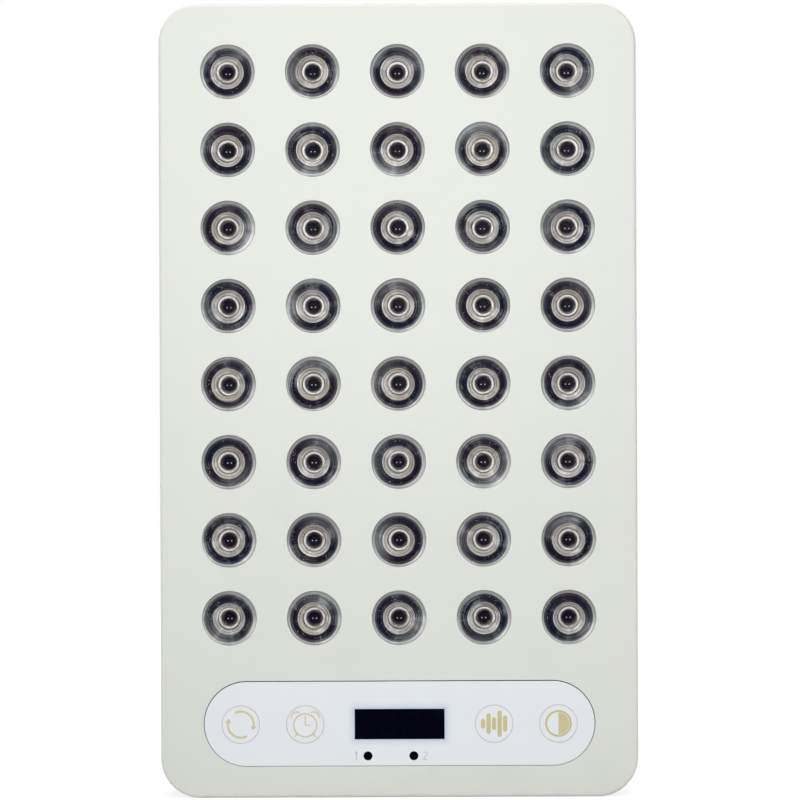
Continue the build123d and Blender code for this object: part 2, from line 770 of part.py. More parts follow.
# Stand brackets: an ear with the pin hole and a base on the rear cover, one at each side
cover_rear_y = housing_depth - half_depth
ear_start = stand_width / 2 + ear_gap
with BuildPart() as stand_brackets:
    with BuildSketch(Plane.YZ.offset(ear_start)):
        with Locations((cover_rear_y, stand_hinge_z)):
            Rectangle(stand_proud, knuckle_diameter, align=(Align.MIN, Align.CENTER))
        with Locations((stand_y, stand_hinge_z)):
            Circle(stand_pin_diameter / 2 + stand_running_gap, mode=Mode.SUBTRACT)
    extrude(amount=ear_thickness)
    with BuildSketch(Plane.XZ.offset(-cover_rear_y)):
        with Locations((ear_start, stand_hinge_z)):
            Rectangle(bracket_base_width, bracket_base_height, align=(Align.MIN, Align.CENTER))
    extrude(amount=-bracket_base_thickness)
    mirror(about=Plane.YZ)
stand_brackets.part.label = "stand_brackets"
export_step(stand_brackets.part, "parts/stand_brackets.step")


# Stand pin: one cross rod through both ears and both knuckles
pin_half_length = ear_start + ear_thickness
with BuildPart() as stand_pin:
    with BuildSketch(Plane.YZ):
        with Locations((stand_y, stand_hinge_z)):
            Circle(stand_pin_diameter / 2)
    extrude(amount=pin_half_length, both=True)
stand_pin.part.label = "stand_pin"
export_step(stand_pin.part, "parts/stand_pin.step")


# Hanging nuts: two threaded nuts whose square necks sit in the holes near the top of the rear cover
with BuildPart() as hanger_nuts:
    with BuildSketch(depth_plane(housing_depth)):
        with Locations((-hanger_x, hanger_z), (hanger_x, hanger_z)):
            Rectangle(hanger_neck_side, hanger_neck_side)
    extrude(amount=sheet)
    with BuildSketch(depth_plane(cover_inner_depth)):
        with Locations((-hanger_x, hanger_z), (hanger_x, hanger_z)):
            Rectangle(hanger_nut_side, hanger_nut_side)
    extrude(amount=hanger_nut_thickness)
    with BuildSketch(depth_plane(housing_depth)):
        with Locations((-hanger_x, hanger_z), (hanger_x, hanger_z)):
            Circle(hanger_thread_diameter / 2)
    extrude(amount=sheet + hanger_nut_thickness, mode=Mode.SUBTRACT)
hanger_nuts.part.label = "hanger_nuts"
export_step(hanger_nuts.part, "parts/hanger_nuts.step")


# Screws: four in the corners of the rear cover and four that hold the fan
with BuildPart() as cover_screws:
    with BuildSketch(depth_plane(housing_depth)):
        with Locations((0, panel_height / 2)):
            with GridLocations(
                x_spacing=cover_post_pitch_x, y_spacing=cover_post_pitch_z, x_count=2, y_count=2
            ):
                RegularPolygon(screw_head_diameter / 2, small_round_sides)
    extrude(amount=-screw_head_height)
    with BuildSketch(depth_plane(housing_depth)):
        with Locations((0, panel_height / 2)):
            with GridLocations(
                x_spacing=cover_post_pitch_x, y_spacing=cover_post_pitch_z, x_count=2, y_count=2
            ):
                RegularPolygon(screw_diameter / 2, small_round_sides)
    extrude(amount=cover_screw_length)
cover_screws.part.label = "cover_screws"
export_step(cover_screws.part, "parts/cover_screws.step")

with BuildPart() as fan_screws:
    with BuildSketch(depth_plane(housing_depth)):
        with Locations((0, fan_centre_z)):
            with GridLocations(
                x_spacing=fan_screw_spacing, y_spacing=fan_screw_spacing, x_count=2, y_count=2
            ):
                RegularPolygon(screw_head_diameter / 2, small_round_sides)
    extrude(amount=-screw_head_height)
    with BuildSketch(depth_plane(housing_depth)):
        with Locations((0, fan_centre_z)):
            with GridLocations(
                x_spacing=fan_screw_spacing, y_spacing=fan_screw_spacing, x_count=2, y_count=2
            ):
                RegularPolygon(screw_diameter / 2, small_round_sides)
    extrude(amount=fan_screw_length)
fan_screws.part.label = "fan_screws"
export_step(fan_screws.part, "parts/fan_screws.step")
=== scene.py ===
"""Looks of an upright light therapy panel, built around its packed construction model.

Lengths are in metres. X runs to the right, the lit face looks towards -Y, Z is up.
"""

import json
import logging
import math
import random
from collections.abc import Iterable, Mapping, Sequence
from dataclasses import dataclass
from enum import Enum

import bmesh
import bpy
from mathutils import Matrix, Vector


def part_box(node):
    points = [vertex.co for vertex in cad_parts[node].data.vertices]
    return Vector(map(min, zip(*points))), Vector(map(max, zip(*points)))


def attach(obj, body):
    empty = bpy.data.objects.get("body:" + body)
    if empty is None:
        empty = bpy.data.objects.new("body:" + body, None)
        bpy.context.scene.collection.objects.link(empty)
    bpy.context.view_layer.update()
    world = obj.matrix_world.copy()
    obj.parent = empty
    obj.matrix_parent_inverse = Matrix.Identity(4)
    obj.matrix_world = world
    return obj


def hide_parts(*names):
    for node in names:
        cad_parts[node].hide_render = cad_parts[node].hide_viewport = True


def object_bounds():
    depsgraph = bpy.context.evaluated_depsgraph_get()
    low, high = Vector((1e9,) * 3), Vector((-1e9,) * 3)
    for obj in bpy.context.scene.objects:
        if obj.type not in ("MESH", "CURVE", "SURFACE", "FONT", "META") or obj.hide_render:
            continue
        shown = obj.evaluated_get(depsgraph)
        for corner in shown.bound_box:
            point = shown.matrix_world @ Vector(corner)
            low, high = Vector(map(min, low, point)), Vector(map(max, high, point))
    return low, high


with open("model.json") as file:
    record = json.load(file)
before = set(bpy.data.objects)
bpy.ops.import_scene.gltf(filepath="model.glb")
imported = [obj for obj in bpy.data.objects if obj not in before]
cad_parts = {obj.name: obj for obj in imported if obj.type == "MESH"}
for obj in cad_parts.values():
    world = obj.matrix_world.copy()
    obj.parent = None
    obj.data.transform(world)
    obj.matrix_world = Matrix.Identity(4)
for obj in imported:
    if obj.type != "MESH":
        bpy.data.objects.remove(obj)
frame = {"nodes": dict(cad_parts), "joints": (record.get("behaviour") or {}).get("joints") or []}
CAD_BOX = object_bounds()

log = logging.getLogger("light_panel")

MM = 0.001
SMOOTH_ANGLE = math.radians(32)
WELD_DISTANCE = 0.002 * MM
CIRCLE_STEPS = 16
PILL_STEPS = 24
EDGE_STEPS = 3
LINE_END_STEPS = 8
STROKE_TURN = math.radians(6)
FEWEST_STROKES = 6
ARC_PITCH = 1.9 / MM
SIDES = (-1, 1)

Colour = tuple[float, float, float]
Point = tuple[float, float]
Corners = Sequence[bmesh.types.BMVert]


class Wire:
    """Output of a shader node that Python's operators can be used on."""

    def __init__(self, recipe: "Recipe", socket: bpy.types.NodeSocket | None) -> None:
        """Keeps the socket and the recipe it belongs to."""
        self.recipe = recipe
        self.socket = socket

    def join(self, operation: str, *numbers: "Wire | float") -> "Wire":
        """Works a number out.

        Args:
            operation: Name of the Math node's operation.
            *numbers: What it is worked out from.

        Returns:
            The result.
        """
        return self.recipe.node("ShaderNodeMath", {"operation": operation}, dict(enumerate(numbers)))

    def output(self, name: str) -> "Wire":
        """Another output of the same node."""
        return Wire(self.recipe, self.socket.node.outputs[name])

    def at_least(self, limit: float) -> "Wire":
        """The number, or the limit where that is larger."""
        return self.join("MAXIMUM", self, limit)

    def at_most(self, limit: float) -> "Wire":
        """The number, or the limit where that is smaller."""
        return self.join("MINIMUM", self, limit)

    def __abs__(self) -> "Wire":
        """Number without its sign."""
        return self.join("ABSOLUTE", self)

    def __add__(self, other: "Wire | float") -> "Wire":
        """Sum."""
        return self.join("ADD", self, other)

    def __radd__(self, other: float) -> "Wire":
        """Sum with the number first."""
        return self.join("ADD", other, self)

    def __sub__(self, other: "Wire | float") -> "Wire":
        """Difference."""
        return self.join("SUBTRACT", self, other)

    def __rsub__(self, other: float) -> "Wire":
        """Difference with the number first."""
        return self.join("SUBTRACT", other, self)

    def __mul__(self, other: "Wire | float") -> "Wire":
        """Product."""
        return self.join("MULTIPLY", self, other)

    def __rmul__(self, other: float) -> "Wire":
        """Product with the number first."""
        return self.join("MULTIPLY", other, self)


@dataclass(frozen=True)
class Speckle:
    """Layer of noise, and the soft step that turns it into a mask.

    The stretch says how many times finer the patches are along each axis.
    """

    scale: float
    low: float
    high: float
    detail: float = 3
    stretch: Colour = (1, 1, 1)


class Recipe:
    """Shader nodes of one material, or of the world."""

    def __init__(self, owner: bpy.types.Material | bpy.types.World) -> None:
        """Starts with no nodes.

        Args:
            owner: Material or world that the nodes belong to.
        """
        owner.use_nodes = True
        self.tree = owner.node_tree
        self.tree.nodes.clear()

    def node(
        self,
        kind: str,
        settings: Mapping[str, object] | None = None,
        inputs: Mapping[int | str, object] | None = None,
        output: int | str = 0,
    ) -> Wire:
        """Adds a node.

        Args:
            kind: The node's type.
            settings: Properties that are set first.
            inputs: Values or wires by the socket's name or number.
            output: The socket that is wanted.

        Returns:
            The wanted output.
        """
        node = self.tree.nodes.new(kind)
        for name, value in (settings or {}).items():
            setattr(node, name, value)
        for key, value in (inputs or {}).items():
            socket = node.inputs[key]
            if isinstance(value, Wire):
                self.tree.links.new(value.socket, socket)
            elif socket.type == "RGBA":
                socket.default_value = (*value, 1.0)
            else:
                socket.default_value = value
        return Wire(self, node.outputs[output] if len(node.outputs) else None)

    def place(self) -> Wire:
        """Place on the object, in metres."""
        return self.node("ShaderNodeTexCoord", output="Object")

    def noise(
        self, scale: float, stretch: Colour = (1, 1, 1), detail: float = 3, at: Wire | None = None
    ) -> Wire:
        """Soft noise from 0 to 1.

        Args:
            scale: Patches per metre.
            stretch: How many times finer the patches are along each axis.
            detail: Layers of finer noise.
            at: Where the noise is read, the place on the object where it is left out.

        Returns:
            The noise.
        """
        scaled = self.node(
            "ShaderNodeVectorMath", {"operation": "MULTIPLY"}, {0: at or self.place(), 1: stretch}
        )
        return self.node("ShaderNodeTexNoise", None, {"Vector": scaled, "Scale": scale, "Detail": detail})

    def step(self, value: Wire, low: float, high: float) -> Wire:
        """Turns a value into a smooth step.

        Args:
            value: The value.
            low: Value where the step starts at 0.
            high: Value where the step reaches 1.

        Returns:
            The step.
        """
        return self.node(
            "ShaderNodeMapRange",
            {"interpolation_type": "SMOOTHSTEP"},
            {"Value": value, "From Min": low, "From Max": high},
        )

    def mask(self, layer: Speckle, at: Wire | None = None) -> Wire:
        """Mask of a layer of noise, read on the object or at another place."""
        return self.step(self.noise(layer.scale, layer.stretch, layer.detail, at), layer.low, layer.high)

    def blend(self, factor: Wire, first: Colour | Wire, second: Colour | Wire) -> Wire:
        """Mixes two colours."""
        return self.node("ShaderNodeMix", {"data_type": "RGBA"}, {0: factor, 6: first, 7: second}, 2)

    def bump(self, height: Wire, strength: float, depth: float) -> Wire:
        """Turns a height into a normal.

        Args:
            height: Height from 0 to 1.
            strength: Share of the effect.
            depth: What a height of 1 measures, in metres.

        Returns:
            The normal.
        """
        return self.node("ShaderNodeBump", None, {"Height": height, "Strength": strength, "Distance": depth})

    def surface(self, inputs: Mapping[str, object]) -> None:
        """Ends the recipe with a surface shader."""
        shader = self.node("ShaderNodeBsdfPrincipled", None, inputs)
        self.node("ShaderNodeOutputMaterial", None, {"Surface": shader})


@dataclass(frozen=True)
class Finish:
    """A named finish, made once and shared."""

    name: str
    colour: Colour
    roughness: float = 0.4

    def material(self) -> bpy.types.Material:
        """Makes the finish's material at its first use.

        Returns:
            The material.
        """
        name = f"{self.name}_finish"
        made = bpy.data.materials.get(name)
        if made is None:
            made = bpy.data.materials.new(name)
            self.mix(Recipe(made))
        return made

    def shade(self, share: float) -> Colour:
        """The finish's colour, darker or lighter by a share."""
        red, green, blue = self.colour
        return (red * share, green * share, blue * share)

    def mottled(self, recipe: Recipe, mask: Wire, shares: Point) -> Wire:
        """The finish's colour, shaded from one share to another by a mask."""
        return recipe.blend(mask, self.shade(shares[0]), self.shade(shares[1]))

    def mix(self, recipe: Recipe) -> None:
        """Builds the shader nodes.

        Args:
            recipe: Nodes of the material.
        """
        raise NotImplementedError


@dataclass(frozen=True)
class PowderCoat(Finish):
    """Satin powder coat on sheet metal, with a fine orange peel and faint handling marks."""

    peel: float = 900.0
    marks: Speckle = Speckle(28.0, 0.45, 0.75, 4)
    shades: Point = (1.0, 0.975)
    mark_gloss: float = 0.08
    peel_roughness: float = 0.04
    relief: float = 0.02 * MM
    relief_share: float = 0.35

    def mix(self, recipe: Recipe) -> None:
        """Builds the shader nodes.

        Args:
            recipe: Nodes of the material.
        """
        peel = recipe.noise(self.peel, detail=2)
        rubbed = recipe.mask(self.marks)
        recipe.surface({
            "Base Color": self.mottled(recipe, rubbed, self.shades),
            "Roughness": self.roughness - self.mark_gloss * rubbed + self.peel_roughness * peel,
            "Normal": recipe.bump(peel, self.relief_share, self.relief),
        })


@dataclass(frozen=True)
class Overlay(Finish):
    """Glossy printed overlay, with a painted bluish shade round a dark window.

    The window is given by its middle's X and Z and by half its width and height.
    """

    # Colour of the painted shade round the window.
    painted_window_shade: Colour = (0.46, 0.53, 0.68)
    window: tuple[float, float, float, float] = (0, 0, 0, 0)
    reach: float = 5.6 * MM
    window_shade_strength: float = 3.0
    clouds: float = 60.0
    shades: Point = (1.0, 0.98)
    cloud_roughness: float = 0.05
    coat_roughness: float = 0.03

    def mix(self, recipe: Recipe) -> None:
        """Builds the shader nodes.

        Args:
            recipe: Nodes of the material.
        """
        place = recipe.node("ShaderNodeSeparateXYZ", None, {0: recipe.place()})
        x, z, half_width, half_height = self.window
        beside = abs(place.output("X") - x) - half_width
        above = abs(place.output("Z") - z) - half_height
        offset = recipe.node(
            "ShaderNodeCombineXYZ", None, {0: beside.at_least(0.0), 1: above.at_least(0.0)}
        )
        away = recipe.node("ShaderNodeVectorMath", {"operation": "LENGTH"}, {0: offset}, "Value")
        near = 1 - recipe.step(away, -self.reach, self.reach)
        cloud = recipe.noise(self.clouds, detail=2)
        plain = self.mottled(recipe, cloud, self.shades)
        # Near the window, a painted bluish shade is blended into the base colour.
        recipe.surface({
            "Base Color": recipe.blend(near * near * self.window_shade_strength, plain, self.painted_window_shade),
            "Roughness": self.roughness + self.cloud_roughness * cloud,
            "Coat Weight": 1.0,
            "Coat Roughness": self.coat_roughness,
        })


@dataclass(frozen=True)
class Ink(Finish):
    """Printed ink, slightly uneven."""

    grain: float = 1500.0
    shades: Point = (1.03, 0.93)

    def mix(self, recipe: Recipe) -> None:
        """Builds the shader nodes.

        Args:
            recipe: Nodes of the material.
        """
        uneven = recipe.noise(self.grain, detail=2)
        recipe.surface({
            "Base Color": self.mottled(recipe, uneven, self.shades),
            "Roughness": self.roughness,
        })


@dataclass(frozen=True)
class Smoked(Finish):
    """Smoked window that hides what is behind it, with hair scratches in its gloss."""

    gloss: float = 0.04
    hairs: float = 140.0
    stretch: Colour = (1, 1, 14)
    shades: Point = (0.8, 1.3)
    hair_roughness: float = 0.1

    def mix(self, recipe: Recipe) -> None:
        """Builds the shader nodes.

        Args:
            recipe: Nodes of the material.
        """
        hairs = recipe.noise(self.hairs, self.stretch, 4)
        recipe.surface({
            "Base Color": self.mottled(recipe, hairs, self.shades),
            "Roughness": self.roughness + self.hair_roughness * hairs,
            "Specular IOR Level": self.gloss,
        })


@dataclass(frozen=True)
class Moulded(Finish):
    """Moulded plastic or rubber with a spark-eroded grain."""

    grain: float = 2200.0
    relief: float = 0.03 * MM
    coat: float = 0.0
    # Scale of the random mottle in the plastic's tone and roughness.
    mottle_and_painted_light: float = 45.0
    shades: Point = (0.85, 1.2)
    haze_roughness: float = 0.12
    coat_roughness: float = 0.12
    relief_share: float = 0.5

    def mix(self, recipe: Recipe) -> None:
        """Builds the shader nodes.

        Args:
            recipe: Nodes of the material.
        """
        grain = recipe.noise(self.grain, detail=3)
        mottle_and_painted_light = recipe.noise(self.mottle_and_painted_light, detail=3)
        recipe.surface({
            "Base Color": self.mottled(recipe, mottle_and_painted_light, self.shades),
            "Roughness": self.roughness + self.haze_roughness * (mottle_and_painted_light - 0.5),
            "Coat Weight": self.coat,
            "Coat Roughness": self.coat_roughness,
            "Normal": recipe.bump(grain, self.relief_share, self.relief),
        })


class Brushing(Enum):
    """Direction of the fine lines on a metal surface, as noise stretch along X, Y and Z."""

    NONE = (1.0, 1.0, 1.0)
    LEVEL = (0.03, 1.0, 1.0)
    UPRIGHT = (1.0, 1.0, 0.03)


@dataclass(frozen=True)
class Metal(Finish):
    """Bare or plated metal with fine lines and dull patches."""

    brushing: Brushing = Brushing.NONE
    lines: float = 2600.0
    patches: Speckle = Speckle(70.0, 0.4, 0.7, 4)
    shades: Point = (1.0, 0.82)
    patch_roughness: float = 0.14
    line_roughness: float = 0.1
    relief: float = 0.01 * MM
    relief_share: float = 0.3

    def mix(self, recipe: Recipe) -> None:
        """Builds the shader nodes.

        Args:
            recipe: Nodes of the material.
        """
        lines = recipe.noise(self.lines, self.brushing.value, 2)
        dull = recipe.mask(self.patches)
        recipe.surface({
            "Base Color": self.mottled(recipe, dull, self.shades),
            "Metallic": 1.0,
            "Roughness": self.roughness + self.patch_roughness * dull + self.line_roughness * lines,
            "Normal": recipe.bump(lines, self.relief_share, self.relief),
        })


@dataclass(frozen=True)
class Circuit(Finish):
    """Solder mask over copper tracks."""

    track: Colour = (0.05, 0.3, 0.13)
    fields: float = 190.0
    disorder: float = 0.35
    track_steps: Point = (0.06, 0.11)
    relief: float = 0.03 * MM
    relief_share: float = 0.4

    def mix(self, recipe: Recipe) -> None:
        """Builds the shader nodes.

        Args:
            recipe: Nodes of the material.
        """
        cells = recipe.node(
            "ShaderNodeTexVoronoi",
            {"feature": "DISTANCE_TO_EDGE", "distance": "EUCLIDEAN"},
            {"Vector": recipe.place(), "Scale": self.fields, "Randomness": self.disorder},
        )
        tracks = 1 - recipe.step(cells, *self.track_steps)
        recipe.surface({
            "Base Color": recipe.blend(tracks, self.colour, self.track),
            "Roughness": self.roughness,
            "Normal": recipe.bump(tracks, self.relief_share, self.relief),
        })


@dataclass(frozen=True)
class Optic(Finish):
    """Ring of a moulded lens, coloured with painted reflections and painted light and shade for what the
    clear lens shows, with radial streaks, fine arcs and dust that differ from lens to lens.

    The streaks are read by direction from the lens's axis, and the arcs by radius.
    """

    # Second tone, towards which the painted light and shade and the streaks and arcs blend the colour.
    painted_light_and_mark_tone: Colour = (0.5, 0.5, 0.5)
    mark_share: float = 0.3
    gloss: float = 0.5
    cast: Colour = (1.0, 1.0, 1.0)
    dust: Colour = (0.85, 0.83, 0.8)
    dust_share: float = 0.8
    streak_share: float = 0.25
    arc_share: float = 0.75
    streak_roughness: float = 0.15
    painted_light_share: float = 0.5
    veil_painted_light: float = 0.55
    arc_painted_light: float = 0.5
    streaks: Speckle = Speckle(9.0, 0.54, 0.7, 4, (1, 1, 4))
    veil: Speckle = Speckle(1.1, 0.46, 0.66, 2, (1, 1, 3))
    arcs: Speckle = Speckle(1.0, 0.47, 0.6, 2, (0.8, 0.8, 1))
    specks: Speckle = Speckle(2400.0, 0.63, 0.72, 2)
    clusters: Speckle = Speckle(260.0, 0.5, 0.62)
    lots: Speckle = Speckle(34.0, 0.42, 0.6, 1)

    def read(self, recipe: Recipe, layer: str, output: str = "Vector") -> Wire:
        """What the mesh holds in a layer."""
        return recipe.node("ShaderNodeAttribute", {"attribute_name": layer}, output=output)

    def mix(self, recipe: Recipe) -> None:
        """Builds the shader nodes.

        Args:
            recipe: Nodes of the material.
        """
        direction = self.read(recipe, "polar")
        mottle_and_painted_light = self.read(recipe, "mottle_and_painted_light", "Fac")
        streaks = recipe.mask(self.streaks, direction)
        veil = recipe.mask(self.veil, direction)
        arcs = recipe.mask(self.arcs, self.read(recipe, "arcs"))
        dusty = recipe.mask(self.specks) * recipe.mask(self.clusters)
        # The streaks and arcs, and the painted light and shade, blend the ring's colour towards its second
        # tone.
        marked = veil * (self.streak_share * streaks + self.arc_share * arcs) * self.mark_share
        level = mottle_and_painted_light * (self.painted_light_share + self.veil_painted_light * veil + self.arc_painted_light * arcs) + marked
        other = tuple(part * share for part, share in zip(self.colour, self.cast))
        base = recipe.blend(recipe.mask(self.lots), self.colour, other)
        tinted = recipe.blend(level.at_most(1.0), base, self.painted_light_and_mark_tone)
        recipe.surface({
            "Base Color": recipe.blend(dusty * self.dust_share, tinted, self.dust),
            "Roughness": self.roughness + self.streak_roughness * streaks,
            "Specular IOR Level": self.gloss,
        })


@dataclass(frozen=True)
class Glow(Finish):
    """Small light chip, made to glow faintly as a painted glint of the light it catches through its lens."""

    strength: float = 0.5
    grain: float = 3000.0
    shades: Point = (0.9, 1.1)

    def mix(self, recipe: Recipe) -> None:
        """Builds the shader nodes.

        Args:
            recipe: Nodes of the material.
        """
        tint = self.mottled(recipe, recipe.noise(self.grain, detail=1), self.shades)
        recipe.surface({
            "Base Color": tint,
            "Roughness": self.roughness,
            "Emission Color": tint,
            "Emission Strength": self.strength,
        })


HOUSING_PAINT = PowderCoat("housing_paint", (0.772, 0.785, 0.741), 0.46)
STAND_PAINT = PowderCoat("stand_paint", (0.78, 0.79, 0.75), 0.5, 1100.0, Speckle(40.0, 0.45, 0.75, 4))
KEY_GLOSS = Overlay("key_gloss", (0.862, 0.888, 0.916), 0.2)
GOLD_INK = Ink("gold_ink", (0.64, 0.585, 0.31), 0.35)
PALE_GOLD_INK = Ink("pale_gold_ink", (0.7, 0.62, 0.43), 0.35)
GREY_INK = Ink("grey_ink", (0.6, 0.62, 0.6), 0.35)
WHITE_INK = Ink("white_ink", (0.8, 0.8, 0.8), 0.4)
KEY_LINE_INK = Ink("key_line_ink", (0.73, 0.71, 0.64), 0.4)
# Dark flange behind the control strip, seen through the gap round it as a line of painted shade.
GAP_SHADE_FLANGE = Moulded("gap_shade_flange", (0.05, 0.05, 0.055), 0.8, 1500.0, 0.06 * MM)
DARK_WINDOW = Smoked("dark_window", (0.0005, 0.001, 0.0052), 0.12, 0.01)
GHOST_DIGIT = Smoked("ghost_digit", (0.0022, 0.0018, 0.0036), 0.3, 0.01)
BLACK_PLASTIC = Moulded("black_plastic", (0.028, 0.028, 0.03), 0.5)
FAN_BLACK = Moulded("fan_black", (0.035, 0.035, 0.037), 0.38, 1200.0, 0.01 * MM)
SWITCH_BLACK = Moulded("switch_black", (0.02, 0.02, 0.021), 0.3, 1800.0, 0.01 * MM, 0.4)
SOFT_RUBBER = Moulded("soft_rubber", (0.03, 0.03, 0.03), 0.78, 900.0, 0.08 * MM)
RIBBON_GREY = Moulded("ribbon_grey", (0.45, 0.45, 0.46), 0.5, 600.0, 0.05 * MM)
LAMP_CLEAR = Moulded("lamp_clear", (0.2, 0.2, 0.22), 0.15, 400.0, 0.0, 1.0)
BARE_ALUMINIUM = Metal("bare_aluminium", (0.78, 0.79, 0.8), 0.32, Brushing.UPRIGHT)
PLATED_STEEL = Metal("plated_steel", (0.5, 0.51, 0.52), 0.3, Brushing.LEVEL)
PLATED_BRASS = Metal("plated_brass", (0.76, 0.73, 0.64), 0.22)
DARK_STEEL = Metal("dark_steel", (0.13, 0.13, 0.14), 0.36)
BOARD_WHITE = Circuit("board_white", (0.82, 0.82, 0.8), 0.4, (0.74, 0.74, 0.7))
BOARD_GREEN = Circuit("board_green", (0.03, 0.2, 0.08), 0.35)
# The lens finishes are painted reflections: opaque rings coloured as the clear lens shows the hole's wall,
# the dark inside, the white board, the edge of the emitter well and the emitter.
LENS_RIM = Optic("lens_rim", (0.38, 0.385, 0.38), 0.3, (0.9, 0.9, 0.92), 0.34, 0.5)
LENS_DARK = Optic(
    "lens_dark", (0.002, 0.0045, 0.017), 0.2, (0.46, 0.475, 0.485), 0.36, 0.06, (4.5, 0.8, 0.85)
)
LENS_LEDGE = Optic(
    "lens_ledge", (0.31, 0.295, 0.285), 0.28, (0.95, 0.91, 0.87), 0.75, 0.4, (1.15, 1.08, 0.95)
)
LENS_BRIGHT = Optic("lens_bright", (1.0, 0.97, 0.94), 0.24, (0.27, 0.25, 0.235), 0.7, 0.8)
LENS_PUPIL = Optic(
    "lens_pupil", (0.009, 0.006, 0.02), 0.4, (0.36, 0.335, 0.32), 0.2, 0.06, (0.35, 1.3, 1.5)
)
LENS_FLANK = Optic("lens_flank", (0.4, 0.41, 0.42), 0.2, (0.7, 0.7, 0.7), 0.3, 0.5)
EMITTER_BODY = Smoked("emitter_body", (0.009, 0.009, 0.024), 0.3, 0.05)
# The chips' faint glow is a painted glint that stands in for reflected light.
EMITTER_CHIP = Glow("emitter_chip", (0.75, 0.72, 0.8), 0.3, 0.3)


@dataclass(frozen=True)
class Outline:
    """Rounded rectangle across the panel. A radius of half its height makes it a slot or a circle."""

    x: float
    z: float
    width: float
    height: float
    radius: float
    steps: int = CIRCLE_STEPS

    def loop(self, y: float, inset: float = 0.0) -> list[Vector]:
        """Points round the outline.

        Args:
            y: Where the outline lies.
            inset: How far it is drawn in, or out where it is below zero.

        Returns:
            The points, against the clock seen from the front.
        """
        half_width = self.width / 2 - self.radius
        half_height = self.height / 2 - self.radius
        radius = self.radius - inset
        points = []
        for corner, (side, rise) in enumerate(((1, 1), (-1, 1), (-1, -1), (1, -1))):
            straight = half_height if corner % 2 else half_width
            count = self.steps + 1 if straight > WELD_DISTANCE else self.steps
            for step in range(count):
                turn = math.pi / 2 * (corner + step / self.steps)
                points.append(Vector((
                    self.x + side * half_width + radius * math.cos(turn),
                    y,
                    self.z + rise * half_height + radius * math.sin(turn),
                )))
        return points


def circle(x: float, z: float, radius: float, steps: int = CIRCLE_STEPS) -> Outline:
    """A circular outline with four times the steps as sides."""
    return Outline(x, z, 2 * radius, 2 * radius, radius, steps)


def pill(centre: Point, width: float, height: float, steps: int) -> Outline:
    """An outline with round ends."""
    return Outline(*centre, width, height, height / 2, steps)


def four_corners(centre: Point, width: float, height: float) -> list[Point]:
    """Corners of a rectangle.

    Args:
        centre: Centre as X and Z.
        width: Width along X.
        height: Height along Z.

    Returns:
        The corners as X and Z.
    """
    return [
        (centre[0] + side * width / 2, centre[1] + end * height / 2) for side in SIDES for end in SIDES
    ]


def polar(centre: Point, radius: float, turn: float) -> Point:
    """Point at a distance and a direction from a centre, as X and Z."""
    return (centre[0] + radius * math.cos(turn), centre[1] + radius * math.sin(turn))


def whole_turn(steps: int) -> list[float]:
    """Even steps of a whole turn, in radians."""
    return [2 * math.pi * step / steps for step in range(steps)]


def rounded_wall(
    front: float, back: float, front_edge: float, back_edge: float, steps: int = 4
) -> list[Point]:
    """Profile of a wall that runs from front to back.

    Args:
        front: Where the wall starts.
        back: Where it ends.
        front_edge: Radius of its front edge.
        back_edge: Radius of its back edge.
        steps: Steps of each rounded edge.

    Returns:
        Pairs of inset and place.
    """
    turns = [math.pi / 2 * step / steps for step in range(steps + 1)]
    profile = [(0.0, front)]
    if front_edge:
        profile = [
            (front_edge * (1 - math.sin(turn)), front + front_edge * (1 - math.cos(turn)))
            for turn in turns
        ]
    if not back_edge:
        return profile + [(0.0, back)]
    return profile + [
        (back_edge * (1 - math.cos(turn)), back - back_edge * (1 - math.sin(turn))) for turn in turns
    ]


@dataclass(frozen=True)
class Ring:
    """One ring of a turned shape, with the finish of what follows it and a share of painted light and shade
    from 0 to 1.
    """

    radius: float
    depth: float
    finish: Finish
    mottle_and_painted_light: float = 0.0


